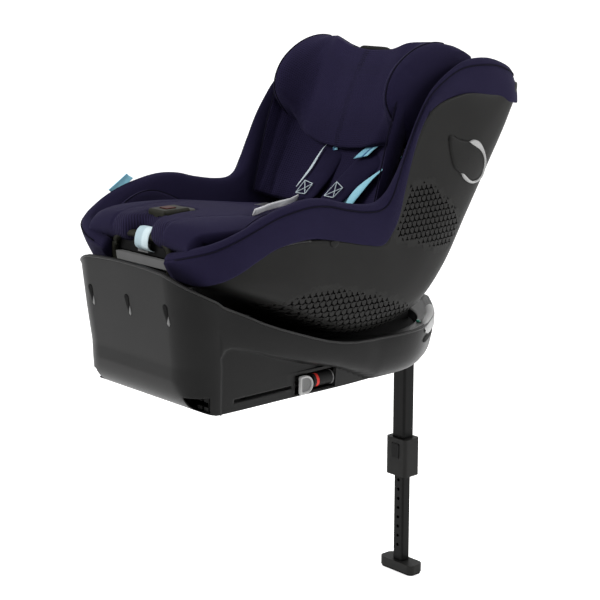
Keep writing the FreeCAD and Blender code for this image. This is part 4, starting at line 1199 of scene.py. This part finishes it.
def back_pad():
    """Knit back pad that curls forward at its sides, from the seat up to behind the headrest."""
    along = np.linspace(-6, 246, 50)
    half = [(0, 4), (60, 5), (104, 9), (132, 20), (150, 38), (160, 58)]
    columns = spline(half, np.linspace(0, 5, 34))
    rows, bottom = [], []
    for spot in along:
        wing = float(np.interp(spot, (-50, 128, 190, 320), (46, 76, 82, 60)))
        x = columns[:, 0] * (166 / 160)
        wider = 1 + (wing / 58 - 1) * (columns[:, 0] - 104) / 56
        out = columns[:, 1] * np.where(columns[:, 0] > 104, wider, 1)
        crown = 1 + 5 * math.sin(math.pi * np.clip(spot / 318, 0, 1)) * np.exp(-(x / 90) ** 2)
        groove = 2.2 * np.exp(-((x - 62) / 2.4) ** 2)
        face = back_place(x, spot, out + crown - groove)
        rear = back_place(np.minimum(x + 3, 169), spot, out - 16)
        rows.append(np.concatenate([face[:0:-1] * [-1, 1, 1], face]))
        bottom.append(np.concatenate([rear[:0:-1] * [-1, 1, 1], rear]))
    top, bottom = np.array(rows), np.array(bottom)
    x = np.abs(top[:, :, 0])
    fixed = (np.abs(x - 62) < 3) | (x > 160)
    pad = closed_pad("back_pad", top, bottom, "bucket", [LOOKS["knit"], LOOKS["weave"]],
                     lambda row, column: np.where(column < top.shape[1] - 1, 0, 1), fixed, 3.0, 4.0)
    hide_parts("back_cushion", "back_core")
    for side, sign in SIDES.items():
        line = top[:, -1 if sign > 0 else 0] + [-2.0 * sign, 0, 0]
        piping("back_piping_" + side, line, 1.2)


# Side view of the headrest's wing tip, bottom to top: along the backrest and out of it.
WING = [(138, 8), (154, 42), (170, 76), (190, 98), (222, 105), (258, 96), (298, 68), (327, 28), (341, -20)]


def headrest():
    """C shaped pad: a knit front that runs from wing to wing, pinched at its top and bottom seams."""
    count = 56
    wing = even_line(WING, count)
    centre_along = np.linspace(107, 306, count)
    rows = []
    for number in range(count):
        share = number / (count - 1)
        full = 0.45 + 0.55 * max(1 - abs(2 * share - 1) ** 4, 0.0) ** 0.5
        deep = float(smooth_step(share, 0.70, 0.84))
        tip_along, tip = wing[number]
        rear = -58 - 18 * share
        middle = (tip + rear) / 2
        front = 21 + 15 * full
        spots = [
            (0, front, 0), (52, front, 0.12), (92, front + 4, 0.48),
            (114, front + 0.28 * (tip - front), 0.75),
            (127 + 10 * (1 - full), front + 0.62 * (tip - front), 0.92), (137 + 8 * (1 - full), tip - 7, 1),
            (149, tip, 1), (149 + 13 * full, tip - 9, 1), (149 + 19 * full, tip - 32, 1),
            (149 + 20 * full, middle, 1), (149 + 17 * full, rear + 12, 1), (149 + 6 * full, rear, 1),
            (149 - 6 * full, rear + 8, 1), (140 - 6 * full, -12 - 30 * deep, 0.95),
            (118, 21 - 17 * full - 50 * deep, 0.8), (0, 21 - 11 * full - 54 * deep, 0),
        ]
        half = np.array([(x, centre_along[number] * (1 - w) + tip_along * w, out) for x, out, w in spots])
        line = spline(half, np.linspace(0, len(half) - 1, 60))
        placed = back_place(line[:, 0], line[:, 1], line[:, 2])
        rows.append(np.concatenate([placed, placed[-2:0:-1] * [-1, 1, 1]]))
    rows = np.array(rows)
    width = rows.shape[1]
    tip_column = int(round(6 / 15 * 59))
    columns = np.arange(width)
    on_front = (columns <= tip_column) | (columns >= width - tip_column)
    piece = surface("headrest_pad", rows, None, [LOOKS["weave"], LOOKS["knit"]], wrap=True, cap=30,
                    choose=lambda row, column: on_front[column].astype(int))
    pinned = np.zeros(rows.shape[:2], bool)
    pinned[:, tip_column] = pinned[:, width - tip_column] = True
    pinned[:, 46:width - 46] = True
    pinned[:2] = pinned[-2:] = True
    puff(piece, np.nonzero(pinned.ravel())[0], 3.5, 5.0)
    refine(piece)
    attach(piece, "headrest")
    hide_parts("headrest_cushion")
    for side, column in (("left", tip_column), ("right", width - tip_column)):
        piping("headrest_piping_" + side, rows[2:-4, column], 1.6, "headrest")


def release_bar():
    """Low release bar on top of the headrest."""
    line = back_place(np.linspace(-38, 38, 24), 309.0, 20.0)
    radius = 5.5 * np.sqrt(1 - np.linspace(-0.96, 0.96, 24) ** 8)
    bar = tube("release_bar", line, radius, "headrest_lever", LOOKS["inner"])
    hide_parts("headrest_lever")


# ------------------------------------------------------------------ harness

# Middle lines of the shoulder pads: across, along the backrest and out of it.
PAD_LINES = {
    "left": [(30, -4, 40), (32, 22, 27), (48, 56, 17), (72, 90, 13), (90, 114, 10)],
    "right": [(-45, -6, 40), (-45, 22, 27), (-38, 56, 17), (-30, 90, 13), (-24, 114, 10)],
}


def shoulder_pads():
    """Padded sleeves on the shoulder straps; both lean towards the child's left."""
    across = np.linspace(-1, 1, 15)
    for side, knots in PAD_LINES.items():
        line = even_line(knots, 28)
        run = unit(np.gradient(back_place(*line.T), axis=0))
        top, bottom = [], []
        for number, (x, along, out) in enumerate(line):
            share = number / (len(line) - 1)
            half = 30 * (1 - 0.45 * abs(2 * share - 1) ** 12)
            beside = unit(np.array([1.0, 0, 0]) - run[number] * run[number][0])
            crown = 6 * (1 - np.abs(across) ** 4) * (1 - abs(2 * share - 1) ** 8)
            middle = back_place(x, along, out)
            spread = middle + beside * (across * half)[:, None]
            top.append(spread + BACK_OUT * crown[:, None])
            bottom.append(spread - BACK_OUT * 4.5)
        top, bottom = np.array(top), np.array(bottom)
        edge = np.zeros(top.shape[:2], bool)
        edge[[0, -1]] = True
        edge[:, [0, -1]] = True
        pad = closed_pad("shoulder_pad_" + side, top, bottom, "headrest", [LOOKS["weave"]],
                         lambda row, column: np.zeros(len(row), int), edge, 4.0, 4.0)
        box_stitch("pad_stitch_" + side, top)
        if side == "left":
            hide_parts("shoulder_pads")
        else:
            edge_line = top[5:26, 2] + [0, -3.5, 4.5]
            width = 6 * np.sin(np.linspace(0.15, math.pi - 0.1, 21)) + 0.8
            trim = ribbon("pad_trim", edge_line, [1.0, 0, 0.1], width, 0.8, "headrest", LOOKS["thread"])


def box_stitch(name, grid):
    """Box and cross sewn in pale thread near the pad's foot, laid just over the pad's top grid."""
    lift = BACK_OUT * 4.6
    corners = [grid[3, 4], grid[3, 10], grid[9, 10], grid[9, 4]]
    for number, (start, end) in enumerate([(0, 1), (1, 2), (2, 3), (3, 0), (0, 2), (1, 3)]):
        line = np.linspace(corners[start], corners[end], 8) + lift
        thread("%s_%d" % (name, number), line, "headrest")


def harness():
    """Shoulder, side and lap straps, the crotch strap's web and the adjuster loop."""
    upper = {"left": [(62, 96, 27), (72, 112, 24), (86, 130, 18), (100, 150, 12), (108, 185, 4)],
             "right": [(-30, 104, 14), (-34, 120, 11), (-46, 140, 9), (-60, 160, 6), (-70, 185, 4)]}
    for side, sign in SIDES.items():
        line = even_line([back_place(*knot) for knot in upper[side]], 26)
        strap = ribbon("shoulder_strap_" + side, line, [1, 0.15 * sign, 0.25], 34, 1.6, "bucket",
                       LOOKS["blue_webbing"])
        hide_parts("harness_strap_" + side)
    side_line = even_line([back_place(54, 0, 24), back_place(78, 30, 24), back_place(102, 60, 24),
                           back_place(126, 88, 18), back_place(146, 112, 8)], 34)
    turn = np.linspace(0.05, 1.05, 34)
    across = np.column_stack([np.cos(turn), -0.5 * np.sin(turn), 0.35 * np.sin(turn)])
    lower = ribbon("side_strap", side_line, across, np.linspace(42, 14, 34), 1.8, "bucket",
                   LOOKS["teal_webbing"])
    lap = {"left": [(40, -20, 303), (80, -30, 300), (120, -36, 293), (158, -40, 282)],
           "right": [(-44, -28, 307), (-12, -76, 309), (18, -124, 314), (42, -170, 317), (74, -216, 321),
                     (112, -266, 327)]}
    lies = {"left": (0.75, 0.6, 0.3), "right": (0.3, 0.2, 0.9)}
    for side in SIDES:
        belt = ribbon("lap_strap_" + side, even_line(lap[side], 30), lies[side], 14, 4.0, "bucket",
                      LOOKS["white_webbing"])
    crotch = even_line([(0, -336, 321), (0, -322, 325), (0, -308, 322), (0, -300, 308), (0, -299, 280)], 24)
    ring = ribbon("crotch_strap_web", crotch, [1.0, 0, 0], 38, 4.0, "bucket", LOOKS["dark_webbing"])
    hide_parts("crotch_strap")
    loop = even_line([(8, y, z) for y, z in (
        (-392, 294), (-404, 303), (-417, 305), (-426, 297), (-430, 283), (-428, 272), (-416, 265),
        (-403, 268), (-395, 278), (-392, 288))], 50)
    strap = ribbon("adjuster_loop", loop, [1.0, 0, 0], 38, 2.0, "bucket", LOOKS["pale_webbing"])
    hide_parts("adjuster_strap")


def front_recess():
    """Rolled dark rim round the opening with the recline handle."""
    half = [(0, 292), (40, 290), (70, 280), (80, 256), (74, 232)]
    spots = [(-x, z) for x, z in half[:0:-1]] + half
    line = even_line([(x, -421, z) for x, z in spots], 60)
    tube("recess_rim", line, 6.5, "bucket", LOOKS["olive"])


# ------------------------------------------------------------------ CAD nodes that stay

CAD_LOOKS = {
    "base": ("base_lower_shell", "base_screws"),
    "rubber": ("anti_slip_pads", "leg_sole"),
    "steel": ("bearing_race", "bearing_balls", "leg_bracket", "leg_hinge_pin", "headrest_rods",
              "buckle_tongues", "lock_pin"),
    "inner": ("isofix_arm_left", "isofix_arm_right", "isofix_hook_left", "isofix_hook_right", "turntable",
              "recline_rails", "recline_runners", "isofix_guides", "headrest_frame",
              "isofix_indicator_tubes", "isofix_head_left", "isofix_head_right", "front_housing"),
    "olive": ("buckle_housing",),
    "dark_red": ("buckle_button",),
    "leg": ("leg_upper_tube", "leg_lower_tube", "leg_button"),
    "shell": ("leg_collar", "leg_foot"),
    "dim_grey": ("recline_handle", "adjuster_button"),
    "red": ("isofix_indicator_rings",),
}


def dress_cad():
    """Materials for the CAD solids that stay in view."""
    for look, nodes in CAD_LOOKS.items():
        for name in nodes:
            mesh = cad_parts[name].data
            mesh.materials.clear()
            mesh.materials.append(LOOKS[look])


camera_and_light()
floor()
base_body()
key_holes()
nose_details()
status_lens()
isofix_details()
seat_shell()
bucket_cover()
seat_cushion()
hip_pads()
back_pad()
headrest()
release_bar()
shoulder_pads()
harness()
front_recess()
dress_cad()
